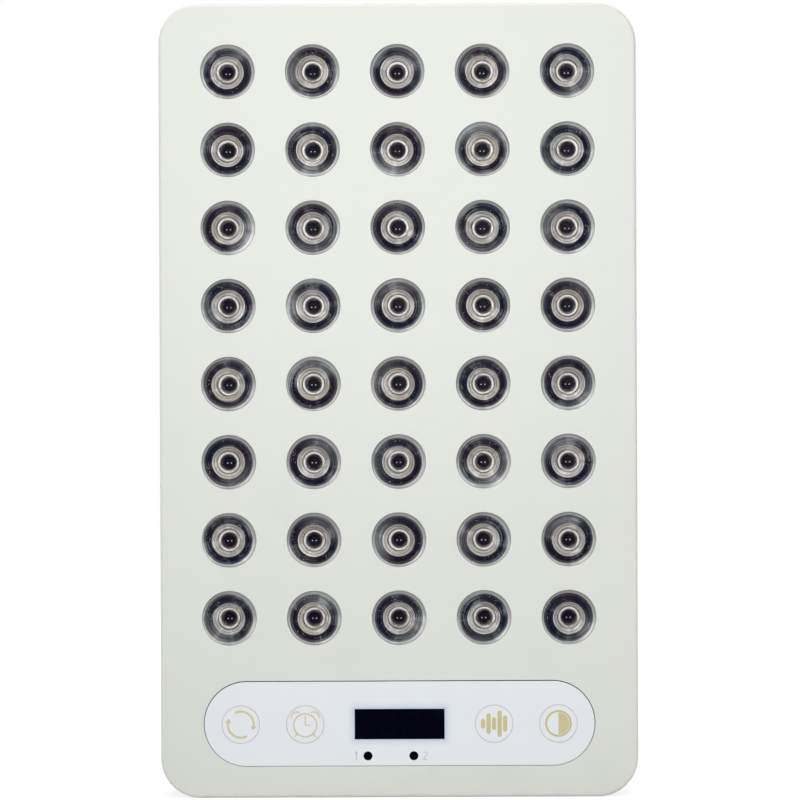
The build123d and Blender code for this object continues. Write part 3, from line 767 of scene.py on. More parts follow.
class Mould:
    """Mesh under construction, with a finish for each face."""

    def __init__(self, name: str) -> None:
        """Starts an empty mesh.

        Args:
            name: Name of the piece.
        """
        self.name = name
        self.shape = bmesh.new()
        self.polar = self.shape.verts.layers.float_vector.new("polar")
        self.arcs = self.shape.verts.layers.float_vector.new("arcs")
        # Share of painted light and shade at each vertex of the lens rings.
        self.mottle_and_painted_light = self.shape.verts.layers.float.new("mottle_and_painted_light")
        self.finishes: list[Finish] = []

    def paint(self, face: bmesh.types.BMFace, finish: Finish) -> None:
        """Gives a face its finish.

        Args:
            face: The face.
            finish: Its finish.
        """
        if finish not in self.finishes:
            self.finishes.append(finish)
        face.material_index = self.finishes.index(finish)
        face.smooth = True

    def cap(self, corners: Corners, finish: Finish) -> None:
        """Adds one face."""
        self.paint(self.shape.faces.new(corners), finish)

    def band(self, first: Corners, second: Corners, finish: Finish) -> None:
        """Joins two rings with faces.

        Args:
            first: Vertices of the first ring.
            second: As many vertices of the second ring.
            finish: Finish of the faces.
        """
        for index, corner in enumerate(first):
            after = (index + 1) % len(first)
            self.cap((corner, first[after], second[after], second[index]), finish)

    def skin(
        self, loops: Sequence[Sequence[Vector]], finish: Finish, closed: bool = False
    ) -> list[list[bmesh.types.BMVert]]:
        """Joins loops of points with faces.

        Args:
            loops: Closed loops with as many points each.
            finish: Finish of the faces.
            closed: Whether the first and last loops get a face across them.

        Returns:
            The vertices of each loop.
        """
        rings = [[self.shape.verts.new(point) for point in loop] for loop in loops]
        for first, second in zip(rings, rings[1:]):
            self.band(first, second, finish)
        if closed:
            self.cap(rings[0], finish)
            self.cap(rings[-1], finish)
        return rings

    def bore(self, holes: Iterable[Outline], walls: Sequence[Point], finish: Finish) -> list[list[Corners]]:
        """Adds the walls of holes.

        Args:
            holes: Outlines of the holes.
            walls: Profile of each wall, as pairs of inset and place.
            finish: Finish of the walls.

        Returns:
            The rings of each hole.
        """
        return [self.skin([hole.loop(y, -inset) for inset, y in walls], finish) for hole in holes]

    def fill(self, outer: Corners, holes: Iterable[Corners], finish: Finish) -> None:
        """Fills the flat space between an outer ring and the rings of its holes.

        Args:
            outer: Vertices of the outer ring.
            holes: Vertices of each hole.
            finish: Finish of the faces.
        """
        edges = []
        for ring in (outer, *holes):
            for index, vertex in enumerate(ring):
                after = ring[(index + 1) % len(ring)]
                edges.append(self.shape.edges.get((vertex, after)) or self.shape.edges.new((vertex, after)))
        filled = bmesh.ops.triangle_fill(self.shape, use_beauty=True, edges=edges, normal=(0, -1, 0))
        for made in filled["geom"]:
            if isinstance(made, bmesh.types.BMFace):
                self.paint(made, finish)

    def plate(
        self,
        outline: Outline,
        holes: Sequence[Outline],
        span: Point,
        edge: float,
        hole_edge: float,
        finish: Finish,
    ) -> None:
        """Adds a plate with holes and rounded edges.

        Args:
            outline: The plate's outline.
            holes: Outlines of the holes.
            span: Where its front and back lie.
            edge: Radius of the outer edges.
            hole_edge: Radius of the edges of the holes.
            finish: Finish of the plate.
        """
        outer = self.skin([outline.loop(y, inset) for inset, y in rounded_wall(*span, edge, edge)], finish)
        inner = self.bore(holes, rounded_wall(*span, hole_edge, hole_edge, EDGE_STEPS), finish)
        for end in (0, -1):
            self.fill(outer[end], [rings[end] for rings in inner], finish)

    def prism(self, points: Sequence[Point], span: Point, finish: Finish) -> None:
        """Adds a flat shape with sharp edges.

        Args:
            points: Corners of the shape as X and Z.
            span: Where its front and back lie.
            finish: Finish of the shape.
        """
        self.skin([[Vector((x, y, z)) for x, z in points] for y in span], finish, True)

    def turned_ring(self, point: Ring, centre: Vector, steps: int, seed: float) -> Corners:
        """Adds the vertices of one ring of a turned shape.

        Args:
            point: The ring.
            centre: Point that its depth is counted from.
            steps: Number of vertices.
            seed: Number that sets its marks apart from those of its neighbours.

        Returns:
            The vertices.
        """
        ring = []
        for turn in whole_turn(steps):
            side, rise = math.cos(turn), math.sin(turn)
            offset = Vector((point.radius * side, point.depth, point.radius * rise))
            vertex = self.shape.verts.new(centre + offset)
            vertex[self.polar] = Vector((side, rise, seed))
            vertex[self.arcs] = Vector((side, rise, seed + ARC_PITCH * point.radius))
            vertex[self.mottle_and_painted_light] = point.mottle_and_painted_light
            ring.append(vertex)
        return ring

    def turned(
        self,
        profile: Sequence[Ring],
        centre: Vector,
        steps: int,
        seed: float = 0.0,
        closed: bool = False,
    ) -> None:
        """Adds a shape turned about an axis along Y.

        Args:
            profile: The shape's rings.
            centre: Point that the depths are counted from.
            steps: Sides of the turned shape.
            seed: Number that sets its marks apart from those of its neighbours.
            closed: Whether the profile ends where it starts. Where not, its ends get faces.
        """
        rings = [self.turned_ring(point, centre, steps, seed) for point in profile]
        for point, first, second in zip(profile, rings, rings[1:]):
            self.band(first, second, point.finish)
        if closed:
            self.band(rings[-1], rings[0], profile[-1].finish)
        else:
            self.cap(rings[0], profile[0].finish)
            self.cap(rings[-1], profile[-1].finish)

    def block(self, low: Vector, high: Vector, edge: float, finish: Finish) -> None:
        """Adds a block with rounded edges.

        Args:
            low: Its lowest corner.
            high: Its highest corner.
            edge: Radius of its edges.
            finish: Finish of the block.
        """
        extent = high - low
        corner = max(edge, WELD_DISTANCE * 2)
        centre = (low + high) / 2
        outline = Outline(centre.x, centre.z, extent.x, extent.z, corner, EDGE_STEPS)
        walls = rounded_wall(low.y, high.y, edge, edge, EDGE_STEPS)
        self.skin([outline.loop(y, inset) for inset, y in walls], finish, True)

    def piece(self, body: str, nodes: Sequence[str] = (), slot: str | None = None) -> None:
        """Turns the mesh into a piece that rides on a body.

        Args:
            body: The body.
            nodes: Construction nodes that the piece stands for.
            slot: Material slot of the record. It is not used.
        """
        bmesh.ops.recalc_face_normals(self.shape, faces=self.shape.faces)
        mesh = bpy.data.meshes.new(self.name)
        self.shape.to_mesh(mesh)
        self.shape.free()
        for finish in self.finishes:
            mesh.materials.append(finish.material())
        mesh.set_sharp_from_angle(angle=SMOOTH_ANGLE)
        made = bpy.data.objects.new(self.name, mesh)
        bpy.context.scene.collection.objects.link(made)
        made.modifiers.new("even_shading", "WEIGHTED_NORMAL").keep_sharp = True
        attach(made, body)
        if nodes:
            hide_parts(*nodes)
        log.info("%s: %d faces on %s", self.name, len(mesh.polygons), body)


class Print(Mould):
    """Flat print, drawn in strokes of one ink after another."""

    def __init__(self, name: str, span: Point, ink: Finish) -> None:
        """Starts an empty print.

        Args:
            name: Its name.
            span: Where its front and back lie.
            ink: Ink of the first strokes.
        """
        super().__init__(name)
        self.span = span
        self.ink = ink

    def area(self, points: Sequence[Point]) -> None:
        """Prints a filled shape."""
        self.prism(points, self.span, self.ink)

    def arc(self, centre: Point, radius: float, width: float, angles: Point) -> None:
        """Prints an arc.

        Args:
            centre: Its centre.
            radius: Radius of its middle line.
            width: Width of the stroke.
            angles: Start and end in degrees, against the clock from the right.
        """
        start, end = (math.radians(angle) for angle in angles)
        count = max(FEWEST_STROKES, int(abs(end - start) / STROKE_TURN))
        turns = [start + (end - start) * step / count for step in range(count + 1)]
        outer = [polar(centre, radius + width / 2, turn) for turn in turns]
        inner = [polar(centre, radius - width / 2, turn) for turn in reversed(turns)]
        self.area(outer + inner)

    def ring(self, centre: Point, radius: float, width: float) -> None:
        """Prints a ring as two half rings."""
        for start in (0, 180):
            self.arc(centre, radius, width, (start, start + 180))

    def line(self, start: Point, end: Point, width: float) -> None:
        """Prints a line with round ends.

        Args:
            start: Middle of its first end.
            end: Middle of its second end.
            width: Width of the stroke.
        """
        heading = math.atan2(end[1] - start[1], end[0] - start[0])
        self.area([
            polar(centre, width / 2, first + math.pi * step / LINE_END_STEPS)
            for centre, first in ((end, heading - math.pi / 2), (start, heading + math.pi / 2))
            for step in range(LINE_END_STEPS + 1)
        ])


def dress(node: str, finish: Finish, edge: float = 0.0) -> None:
    """Gives a construction node its finish, and softer edges where an edge radius is given.

    Args:
        node: The node.
        finish: Its finish.
        edge: Radius of its edges.
    """
    kept = frame["nodes"][node]
    kept.data.materials.clear()
    kept.data.materials.append(finish.material())
    if edge:
        kept.modifiers.new("joined", "WELD").merge_threshold = WELD_DISTANCE
        bevel = kept.modifiers.new("soft_edges", "BEVEL")
        bevel.width = edge
        bevel.segments = 2
        bevel.limit_method = "ANGLE"
        bevel.angle_limit = SMOOTH_ANGLE
        bevel.harden_normals = True
    log.info("%s: kept, %s", node, finish.name)


def middle(node: str) -> Vector:
    """Centre of a construction node's box."""
    low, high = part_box(node)
    return (low + high) / 2


def size(node: str) -> Vector:
    """Size of a construction node's box."""
    low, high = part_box(node)
    return high - low


@dataclass
class EmitterArray:
    """Emitter packages on their board, each with two small chips."""

    columns: int = 5
    rows: int = 8
    package: float = 7.0 * MM
    chip_offset: float = 0.85 * MM
    chip_drop: float = 0.5 * MM
    chip_width: float = 0.5 * MM
    chip_height: float = 0.42 * MM
    chip_rise: float = 0.06 * MM
    package_edge: float = 0.25 * MM

    def places(self) -> list[Point]:
        """Finds the emitters.

        Returns:
            Their centres as X and Z, from the lower left, row by row.
        """
        low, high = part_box("emitters")
        half = self.package / 2
        step_x = (high.x - low.x - self.package) / (self.columns - 1)
        step_z = (high.z - low.z - self.package) / (self.rows - 1)
        return [
            (low.x + half + column * step_x, low.z + half + row * step_z)
            for row in range(self.rows)
            for column in range(self.columns)
        ]

    def build(self) -> None:
        """Builds the packages and their chips."""
        low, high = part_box("emitters")
        top = low.y + self.chip_rise
        package_half = Vector((self.package / 2, 0, self.package / 2))
        chip_half = Vector((self.chip_width / 2, 0, self.chip_height / 2))
        packages = Mould("emitter_packages")
        chips = Mould("emitter_chips")
        for x, z in self.places():
            front, back = Vector((x, top, z)), Vector((x, high.y, z))
            packages.block(front - package_half, back + package_half, self.package_edge, EMITTER_BODY)
            for side in SIDES:
                face = Vector((x + side * self.chip_offset, low.y, z - self.chip_drop))
                foot = face + Vector((0, 2 * self.chip_rise, 0))
                chips.block(face - chip_half, foot + chip_half, self.chip_rise / 2, EMITTER_CHIP)
        packages.piece("housing", ["emitters"], "emitter_black")
        chips.piece("housing", slot="emitter_black")


@dataclass(frozen=True)
class Temper:
    """What sets one lens apart: where its inner rings sit and the painted light and shade on its rings."""

    shelf: Vector
    bead: Vector
    dark: Vector
    lean: float
    # Strength of a painted reflection: a lighter patch on one side of the dark ring.
    painted_reflection: float
    shade: float


class Circle(Enum):
    """Circles of a lens that its rings are measured from, from the outside inwards."""

    OUTSIDE = 1
    RIM = 2
    DARK = 3
    SHELF = 4
    LINE = 5
    GROOVE = 6
    BEAD = 7
    PUPIL = 8


@dataclass(frozen=True)
class Contour:
    """A ring of a lens: how far out of a circle and how far behind the lens's front it lies.

    Its share of painted light and shade is from 0 to 1, and it may vary from lens to lens.
    """

    circle: Circle
    out: float
    behind: float
    finish: Finish
    mottle_and_painted_light: float
    varies: bool = False


# The fifth value of each ring is its share of painted light and shade.
LENS_CONTOURS = (
    Contour(Circle.OUTSIDE, 0.0, 0.3 * MM, LENS_RIM, 0.5),
    Contour(Circle.OUTSIDE, -0.08 * MM, 0.0, LENS_RIM, 0.9),
    Contour(Circle.OUTSIDE, -0.22 * MM, 0.1 * MM, LENS_RIM, 0.2),
    Contour(Circle.RIM, 0.3 * MM, 0.8 * MM, LENS_RIM, 0.3),
    Contour(Circle.RIM, 0.0, 1.05 * MM, LENS_DARK, 0.5, True),
    Contour(Circle.RIM, -0.4 * MM, 1.25 * MM, LENS_DARK, 0.3, True),
    Contour(Circle.DARK, 0.0, 1.4 * MM, LENS_DARK, 0.12, True),
    Contour(Circle.DARK, -0.7 * MM, 1.5 * MM, LENS_DARK, 0.0),
    Contour(Circle.DARK, -1.4 * MM, 1.35 * MM, LENS_DARK, 0.0),
    Contour(Circle.SHELF, 0.8 * MM, 0.95 * MM, LENS_DARK, 0.03, True),
    Contour(Circle.SHELF, 0.35 * MM, 0.6 * MM, LENS_DARK, 0.08),
    Contour(Circle.SHELF, 0.12 * MM, 0.45 * MM, LENS_LEDGE, 0.75),
    Contour(Circle.SHELF, -0.15 * MM, 0.45 * MM, LENS_LEDGE, 0.0),
    Contour(Circle.LINE, 0.16 * MM, 1.6 * MM, LENS_DARK, 0.6),
    Contour(Circle.LINE, -0.1 * MM, 1.95 * MM, LENS_LEDGE, 0.6),
    Contour(Circle.LINE, -0.3 * MM, 2.0 * MM, LENS_LEDGE, 0.5),
    Contour(Circle.GROOVE, 0.25 * MM, 3.7 * MM, LENS_LEDGE, 0.35),
    Contour(Circle.GROOVE, -0.1 * MM, 4.1 * MM, LENS_DARK, 0.55),
    Contour(Circle.BEAD, 0.1 * MM, 4.3 * MM, LENS_DARK, 0.65),
    Contour(Circle.BEAD, 0.0, 3.9 * MM, LENS_BRIGHT, -0.2),
    Contour(Circle.BEAD, -0.3 * MM, 3.6 * MM, LENS_BRIGHT, -0.1),
    Contour(Circle.PUPIL, 0.45 * MM, 3.65 * MM, LENS_BRIGHT, 0.1),
    Contour(Circle.PUPIL, 0.15 * MM, 4.1 * MM, LENS_BRIGHT, 0.3),
    Contour(Circle.PUPIL, 0.0, 4.7 * MM, LENS_PUPIL, 0.7, True),
    Contour(Circle.PUPIL, -0.5 * MM, 6.5 * MM, LENS_PUPIL, 0.6, True),
)


@dataclass
class LensArray:
    """Moulded lenses in the holes of the face, each a little different from the next, their rings coloured
    with painted reflections, light and shade.
    """

    radius: float = 12.18 * MM
    rim: float = 11.2 * MM
    dark: float = 10.3 * MM
    shelf: float = 7.2 * MM
    groove: float = 5.3 * MM
    bead: float = 4.87 * MM
    pupil: float = 3.62 * MM
    seat: float = 4.9 * MM
    seat_lift: float = 0.1 * MM
    pupil_taper: float = 1.25 * MM
    foot_painted_light: float = 0.2
    flank_depth: float = 2.0 * MM
    flank_painted_light: float = 0.5
    front: float = 0.4 * MM
    rim_play: Point = (-0.12 * MM, 0.12 * MM)
    dark_play: Point = (-0.2 * MM, 0.2 * MM)
    shelf_play: Point = (-0.2 * MM, 0.15 * MM)
    line_drop: Point = (0.7 * MM, 1.1 * MM)
    painted_light_play: Point = (0.6, 1.25)
    drift: float = 0.12 * MM
    shelf_shift: Point = (-0.1 * MM, -0.22 * MM)
    bead_shift: Point = (0.06 * MM, -0.16 * MM)
    dark_shift: Point = (-0.2 * MM, -0.08 * MM)
    slack: float = 0.36 * MM
    # Strongest painted reflection on the dark ring.
    reflection_paint_limit: float = 0.72
    shade_play: Point = (-0.4, 0.4)
    # Painted light and shade by direction round the lens rings.
    rim_painted_light_and_shade: float = 1.3
    rim_painted_shade: float = 0.3
    bead_light: float = 0.25
    bead_shade: float = 0.65
    ledge_painted_light: float = 0.3
    ledge_shade: float = 0.75
    bead_margin: float = 0.1 * MM
    shelf_margin: float = 0.3 * MM
    rim_margin: float = 0.4 * MM
    ledge_margin: float = 0.4 * MM
    steps: int = 64
    seed: int = 41
    seed_step: float = 3.7

    def profile(self, depth: float, chance: random.Random) -> list[Ring]:
        """Profile of one lens.

        Args:
            depth: How far behind the face its seat lies.
            chance: Source of small differences.

        Returns:
            The rings, from the outer edge inwards and back.
        """
        circles = {
            Circle.OUTSIDE: self.radius,
            Circle.RIM: self.rim + chance.uniform(*self.rim_play),
            Circle.DARK: self.dark + chance.uniform(*self.dark_play),
            Circle.SHELF: self.shelf + chance.uniform(*self.shelf_play),
            Circle.GROOVE: self.groove,
            Circle.BEAD: self.bead,
            Circle.PUPIL: self.pupil,
        }
        circles[Circle.LINE] = circles[Circle.SHELF] - chance.uniform(*self.line_drop)
        # How strongly this lens shows the painted light and shade of the rings that vary.
        mottle_and_painted_light = chance.uniform(*self.painted_light_play)
        rings = [
            Ring(
                circles[contour.circle] + contour.out, self.front + contour.behind, contour.finish,
                contour.mottle_and_painted_light * (mottle_and_painted_light if contour.varies else 1),
            )
            for contour in LENS_CONTOURS
        ]
        seat, flank = depth - self.seat_lift, self.front + self.flank_depth
        rings.append(Ring(self.pupil - self.pupil_taper, seat, LENS_PUPIL, self.foot_painted_light))
        rings.append(Ring(self.seat, seat, LENS_FLANK, self.flank_painted_light))
        rings.append(Ring(self.radius, flank, LENS_FLANK, self.flank_painted_light))
        return rings

    def build(self, places: Sequence[Point]) -> None:
        """Builds one lens at each place.

        Args:
            places: Centres of the lenses as X and Z.
        """
        chance = random.Random(self.seed)
        face_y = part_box("front_shell")[0].y
        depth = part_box("lenses")[1].y - face_y
        array = Mould("lens_array")
        for number, (x, z) in enumerate(places):
            first = len(array.shape.verts)
            profile = self.profile(depth, chance)
            array.turned(profile, Vector((x, face_y, z)), self.steps, self.seed_step * number, True)
            self.settle(array, first, profile, self.temper(chance))
        array.piece("housing", ["lenses"], "clear_lens")

    def temper(self, chance: random.Random) -> Temper:
        """Draws what sets one lens apart.

        Args:
            chance: Source of small differences.

        Returns:
            The lens's own shifts and its painted light and shade.
        """
        shelf, bead, dark = (
            Vector((chance.gauss(x, self.drift), 0, chance.gauss(z, self.drift)))
            for x, z in (self.shelf_shift, self.bead_shift, self.dark_shift)
        )
        apart = bead - shelf
        apart.length = min(apart.length, self.slack)
        lean = chance.uniform(0, 2 * math.pi)
        painted_reflection = chance.uniform(0.0, self.reflection_paint_limit) ** 2
        return Temper(shelf, shelf + apart, dark, lean, painted_reflection, chance.uniform(*self.shade_play))

    def settle(self, array: Mould, first: int, profile: Sequence[Ring], temper: Temper) -> None:
        """Shifts the rings of the newest lens a little, as moulding does, and paints light and shade on them.

        Args:
            array: Mesh of the lenses.
            first: Number of the lens's first vertex.
            profile: Profile that the lens was turned from.
            temper: What sets the lens apart.
        """
        array.shape.verts.ensure_lookup_table()
        for ring, point in enumerate(profile):
            if point.finish is LENS_FLANK:
                continue
            shift = self.shift(point, temper)
            for step, turn in enumerate(whole_turn(self.steps)):
                vertex = array.shape.verts[first + ring * self.steps + step]
                vertex.co += shift
                # Painted light and shade that change with the direction round the lens.
                vertex[array.mottle_and_painted_light] += self.shading(point, turn, temper)

    def shift(self, point: Ring, temper: Temper) -> Vector:
        """How far a ring is moved across the lens.

        Args:
            point: The ring.
            temper: What sets the lens apart.

        Returns:
            The shift, none for the outermost rings.
        """
        if point.radius <= self.bead + self.bead_margin:
            return temper.bead
        if point.radius <= self.shelf + self.shelf_margin:
            return temper.shelf
        if point.radius <= self.dark:
            return (temper.shelf + temper.dark) / 2
        return temper.dark if point.radius < self.radius - self.rim_margin else Vector()

    def shading(self, point: Ring, turn: float, temper: Temper) -> float:
        """How much painted light and shade is added on a ring: the rim darker at the top and lighter at its
        lower corners, the bright ring darker in its lower half, the ledge lighter on the left, darker at the
        top and shaded across in a random direction, and a lighter patch on one side of the dark ring.

        Args:
            point: The ring.
            turn: Direction from the lens's axis, in radians.
            temper: What sets the lens apart.

        Returns:
            The share that is added, or taken away where it is below zero.
        """
        side, rise = math.cos(turn), math.sin(turn)
        if point.finish is LENS_DARK and point.radius > self.shelf:
            return temper.painted_reflection * max(0.0, math.cos(turn - temper.lean)) ** 2
        if point.finish is LENS_RIM:
            return -self.rim_painted_light_and_shade * rise * abs(side) - self.rim_painted_shade * abs(rise)
        if point.finish is LENS_BRIGHT:
            return self.bead_light - self.bead_shade * min(0.0, rise)
        if point.finish is LENS_LEDGE:
            added = temper.shade * math.cos(turn - temper.lean) + self.ledge_painted_light * max(0.0, -side)
            if point.radius > self.shelf - self.ledge_margin:
                added -= self.ledge_shade * max(0.0, rise)
            return added
        return 0.0


@dataclass
class FrontShell:
    """Formed sheet metal tray with the face, the lens holes and the opening of the control strip."""

    corner: float = 18.0 * MM
    edge: float = 1.5 * MM
    back_edge: float = 0.3 * MM
    edge_steps: int = 8
    sheet: float = 1.5 * MM
    hole_radius: float = 12.31 * MM
    hole_edge: float = 0.25 * MM
    strip_gap: float = 0.3 * MM
    post_side: float = 9.0 * MM
    post_inset: float = 11.19 * MM
    post_edge: float = 0.3 * MM

    def build(self, places: Sequence[Point], strip: tuple[Vector, Vector]) -> None:
        """Builds the tray.

        Args:
            places: Centres of the lens holes as X and Z.
            strip: Corners of the control strip's face.
        """
        low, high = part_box("front_shell")
        extent = high - low
        centre = (0.0, (low.z + high.z) / 2)
        floor_y = low.y + self.sheet
        tray = Mould("front_shell_skin")
        outline = Outline(*centre, extent.x, extent.z, self.corner)
        walls = rounded_wall(low.y, high.y, self.edge, self.back_edge, self.edge_steps)
        walls += [(self.sheet, high.y), (self.sheet, floor_y)]
        outer = tray.skin([outline.loop(y, inset) for inset, y in walls], HOUSING_PAINT)
        strip_low, strip_high = strip
        opening = strip_high - strip_low + Vector((2, 0, 2)) * self.strip_gap
        holes = [circle(x, z, self.hole_radius) for x, z in places]
        holes.append(pill((0.0, (strip_low.z + strip_high.z) / 2), opening.x, opening.z, PILL_STEPS))
        hole_walls = rounded_wall(low.y, floor_y, self.hole_edge, 0.0, EDGE_STEPS)
        bores = tray.bore(holes, hole_walls, HOUSING_PAINT)
        for end in (0, -1):
            tray.fill(outer[end], [rings[end] for rings in bores], HOUSING_PAINT)
        half = self.post_side / 2
        inset = 2 * self.post_inset
        for x, z in four_corners(centre, extent.x - inset, extent.z - inset):
            front, back = Vector((x - half, floor_y, z - half)), Vector((x + half, high.y, z + half))
            tray.block(front, back, self.post_edge, HOUSING_PAINT)
        tray.piece("housing", ["front_shell"], "housing_paint")


class Pictogram(Enum):
    """What is printed on a key, by the key's node and body."""

    CYCLE = "mode_key"
    ALARM_CLOCK = "timer_key"
    PULSE_BARS = "pulse_key"
    HALF_DISC = "dimmer_key"


@dataclass
class KeyMarks:
    """Pictograms of the keys, each drawn round a key's centre."""

    stroke: float = 1.0 * MM
    cycle_radius: float = 5.9 * MM
    cycle_angles: Point = (118, -8)
    arrow_tip: float = -27.0
    arrow_half: float = 1.45 * MM
    clock_drop: float = 0.4 * MM
    clock_radius: float = 5.22 * MM
    clock_line: float = 0.64 * MM
    hand_line: float = 0.45 * MM
    long_hand: float = 4.3 * MM
    short_hand: float = 2.6 * MM
    bell_place: Point = (3.95 * MM, 3.75 * MM)
    bell_radius: float = 2.3 * MM
    bell_lean: float = 36.0
    bell_half: float = 70.0
    foot_top: Point = (3.8 * MM, -4.1 * MM)
    foot_end: Point = (4.55 * MM, -5.05 * MM)
    bar_pitch: float = 2.5 * MM
    bar_width: float = 1.95 * MM
    bar_end: float = 0.97 * MM
    bar_heights: Sequence[float] = (4.35 * MM, 9.4 * MM, 5.8 * MM, 12.05 * MM, 7.25 * MM)
    ring_radius: float = 5.6 * MM
    disc_radius: float = 4.9 * MM
    disc_steps: int = 24

    def draw(self, pictogram: Pictogram, mark: Print, centre: Point) -> None:
        """Draws a pictogram.

        Args:
            pictogram: The pictogram.
            mark: Print of the key.
            centre: Centre of the key.
        """
        draw = {
            Pictogram.CYCLE: self.cycle,
            Pictogram.ALARM_CLOCK: self.alarm_clock,
            Pictogram.PULSE_BARS: self.pulse_bars,
            Pictogram.HALF_DISC: self.half_disc,
        }[pictogram]
        draw(mark, centre)

    def cycle(self, mark: Print, centre: Point) -> None:
        """Draws two arcs that chase each other, each with an arrowhead.

        Args:
            mark: Print of the key.
            centre: Centre of the key.
        """
        mark.ink = PALE_GOLD_INK
        start, end = self.cycle_angles
        for turn in (0, 180):
            mark.arc(centre, self.cycle_radius, self.stroke, (turn + start, turn + end))
            corners = [(self.cycle_radius, turn + self.arrow_tip)]
            corners += [(self.cycle_radius + side * self.arrow_half, turn + end) for side in (1, -1)]
            mark.area([polar(centre, radius, math.radians(angle)) for radius, angle in corners])

    def alarm_clock(self, mark: Print, centre: Point) -> None:
        """Draws an alarm clock with hands, bells and feet.

        Args:
            mark: Print of the key.
            centre: Centre of the key.
        """
        mark.ink = PALE_GOLD_INK
        x, z = centre[0], centre[1] - self.clock_drop
        mark.ring((x, z), self.clock_radius, self.clock_line)
        mark.line((x, z), (x, z + self.long_hand), self.hand_line)
        mark.line((x + self.hand_line, z), (x + self.short_hand, z), self.hand_line)
        for side in SIDES:
            bell = (x + side * self.bell_place[0], z + self.bell_place[1])
            top = 90 - side * self.bell_lean
            angles = (top - self.bell_half, top + self.bell_half)
            mark.arc(bell, self.bell_radius, self.clock_line, angles)
            foot = [(x + side * place[0], z + place[1]) for place in (self.foot_top, self.foot_end)]
            mark.line(*foot, self.clock_line)

    def pulse_bars(self, mark: Print, centre: Point) -> None:
        """Draws the upright bars of a pulse.

        Args:
            mark: Print of the key.
            centre: Centre of the key.
        """
        mark.ink = GOLD_INK
        x, z = centre
        for number, height in enumerate(self.bar_heights):
            bar_x = x + (number - len(self.bar_heights) // 2) * self.bar_pitch
            half = height / 2 - self.bar_end
            mark.line((bar_x, z - half), (bar_x, z + half), self.bar_width)

    def half_disc(self, mark: Print, centre: Point) -> None:
        """Draws a ring with its right half filled.

        Args:
            mark: Print of the key.
            centre: Centre of the key.
        """
        mark.ink = GOLD_INK
        mark.ring(centre, self.ring_radius, self.stroke)
        turns = [math.radians(-90 + 180 * step / self.disc_steps) for step in range(self.disc_steps + 1)]
        mark.area([polar(centre, self.disc_radius, turn) for turn in turns])


@dataclass
class Key:
    """Round key that shows in the strip and is held by a lip behind it."""

    pictogram: Pictogram
    radius: float = 8.52 * MM
    edge: float = 0.1 * MM
    edge_share: float = 0.3
    line: float = 0.18 * MM
    lip: float = 0.7 * MM
    lip_gap: float = 0.15 * MM
    lip_back: float = 1.1 * MM
    plunger_radius: float = 1.5 * MM
    steps: int = 96

    def build(self, front: float, depth: float, span: Point) -> None:
        """Builds the key's cap and its mark.

        Args:
            front: Where the strip's front lies.
            depth: How far behind it the key's face lies.
            span: Where the front and back of the print lie.
        """
        node = self.pictogram.value
        centre = middle(node)
        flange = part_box("control_overlay")[1].y - front
        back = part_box(node)[1].y - front
        corner = self.edge * self.edge_share
        rings = (
            (self.radius - self.edge, depth),
            (self.radius - corner, depth + corner),
            (self.radius, depth + self.edge),
            (self.radius, flange),
            (self.radius + self.lip, flange + self.lip_gap),
            (self.radius + self.lip, flange + self.lip_back),
            (self.plunger_radius, flange + self.lip_back),
            (self.plunger_radius, back),
        )
        cap = Mould(f"{node}_cap")
        profile = [Ring(*ring, KEY_GLOSS) for ring in rings]
        cap.turned(profile, Vector((centre.x, front, centre.z)), self.steps)
        cap.piece(node, [node], "white_gloss")
        mark = Print(f"{node}_mark", span, KEY_LINE_INK)
        mark.ring((centre.x, centre.z), self.radius - self.edge - self.line / 2, self.line)
        KeyMarks().draw(self.pictogram, mark, (centre.x, centre.z))
        mark.piece(node, slot="white_gloss")


@dataclass
class Display:
    """Smoked window with unlit digits that show through it faintly."""

    digits: int = 4
    half_width: float = 2.5 * MM
    half_height: float = 4.9 * MM
    thickness: float = 0.5 * MM
    slant: float = 0.1
    shoulder_share: float = 0.7
    point_share: float = 0.21
    lift_share: float = 1 / 3
    edge: float = 0.05 * MM

    def build(self, face: float, rise: float) -> None:
        """Builds the window and its digits.

        Args:
            face: Where the window's face lies.
            rise: How far the digits reach behind it.
        """
        low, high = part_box("display_window")
        window = Mould("display_glass")
        window.block(Vector((low.x, face, low.z)), high, self.edge, DARK_WINDOW)
        window.piece("housing", ["display_window"], "dark_window")
        digits = Print("display_digits", (face - rise * self.lift_share, face + rise), GHOST_DIGIT)
        pitch = (high.x - low.x) / self.digits
        for number in range(self.digits):
            self.digit(digits, (low.x + pitch * (number + 0.5), (low.z + high.z) / 2))
        digits.piece("housing", slot="dark_window")

    def digit(self, digits: Print, centre: Point) -> None:
        """Adds the seven segments of one digit.

        Args:
            digits: Print of the digits.
            centre: Centre of the digit.
        """
        width, height = self.half_width, self.half_height
        for level in (-height, 0.0, height):
            self.segment(digits, centre, Vector((-width, level)), Vector((width, level)))
        for side in (-width, width):
            self.segment(digits, centre, Vector((side, -height)), Vector((side, 0.0)))
            self.segment(digits, centre, Vector((side, 0.0)), Vector((side, height)))

    def segment(self, digits: Print, centre: Point, start: Vector, end: Vector) -> None:
        """Adds one segment with pointed ends.

        Args:
            digits: Print of the digits.
            centre: Centre of the digit.
            start: First corner of the digit that the segment joins, from its centre.
            end: Second corner.
        """
        along = (end - start).normalized()
        across = Vector((-along.y, along.x)) * self.thickness / 2
        shoulder = along * self.thickness * self.shoulder_share
        point = along * self.thickness * self.point_share
        corners = (
            start + point, start + shoulder + across, end - shoulder + across,
            end - point, end - shoulder - across, start + shoulder - across,
        )
        digits.area([(centre[0] + p.x + self.slant * p.y, centre[1] + p.y) for p in corners])


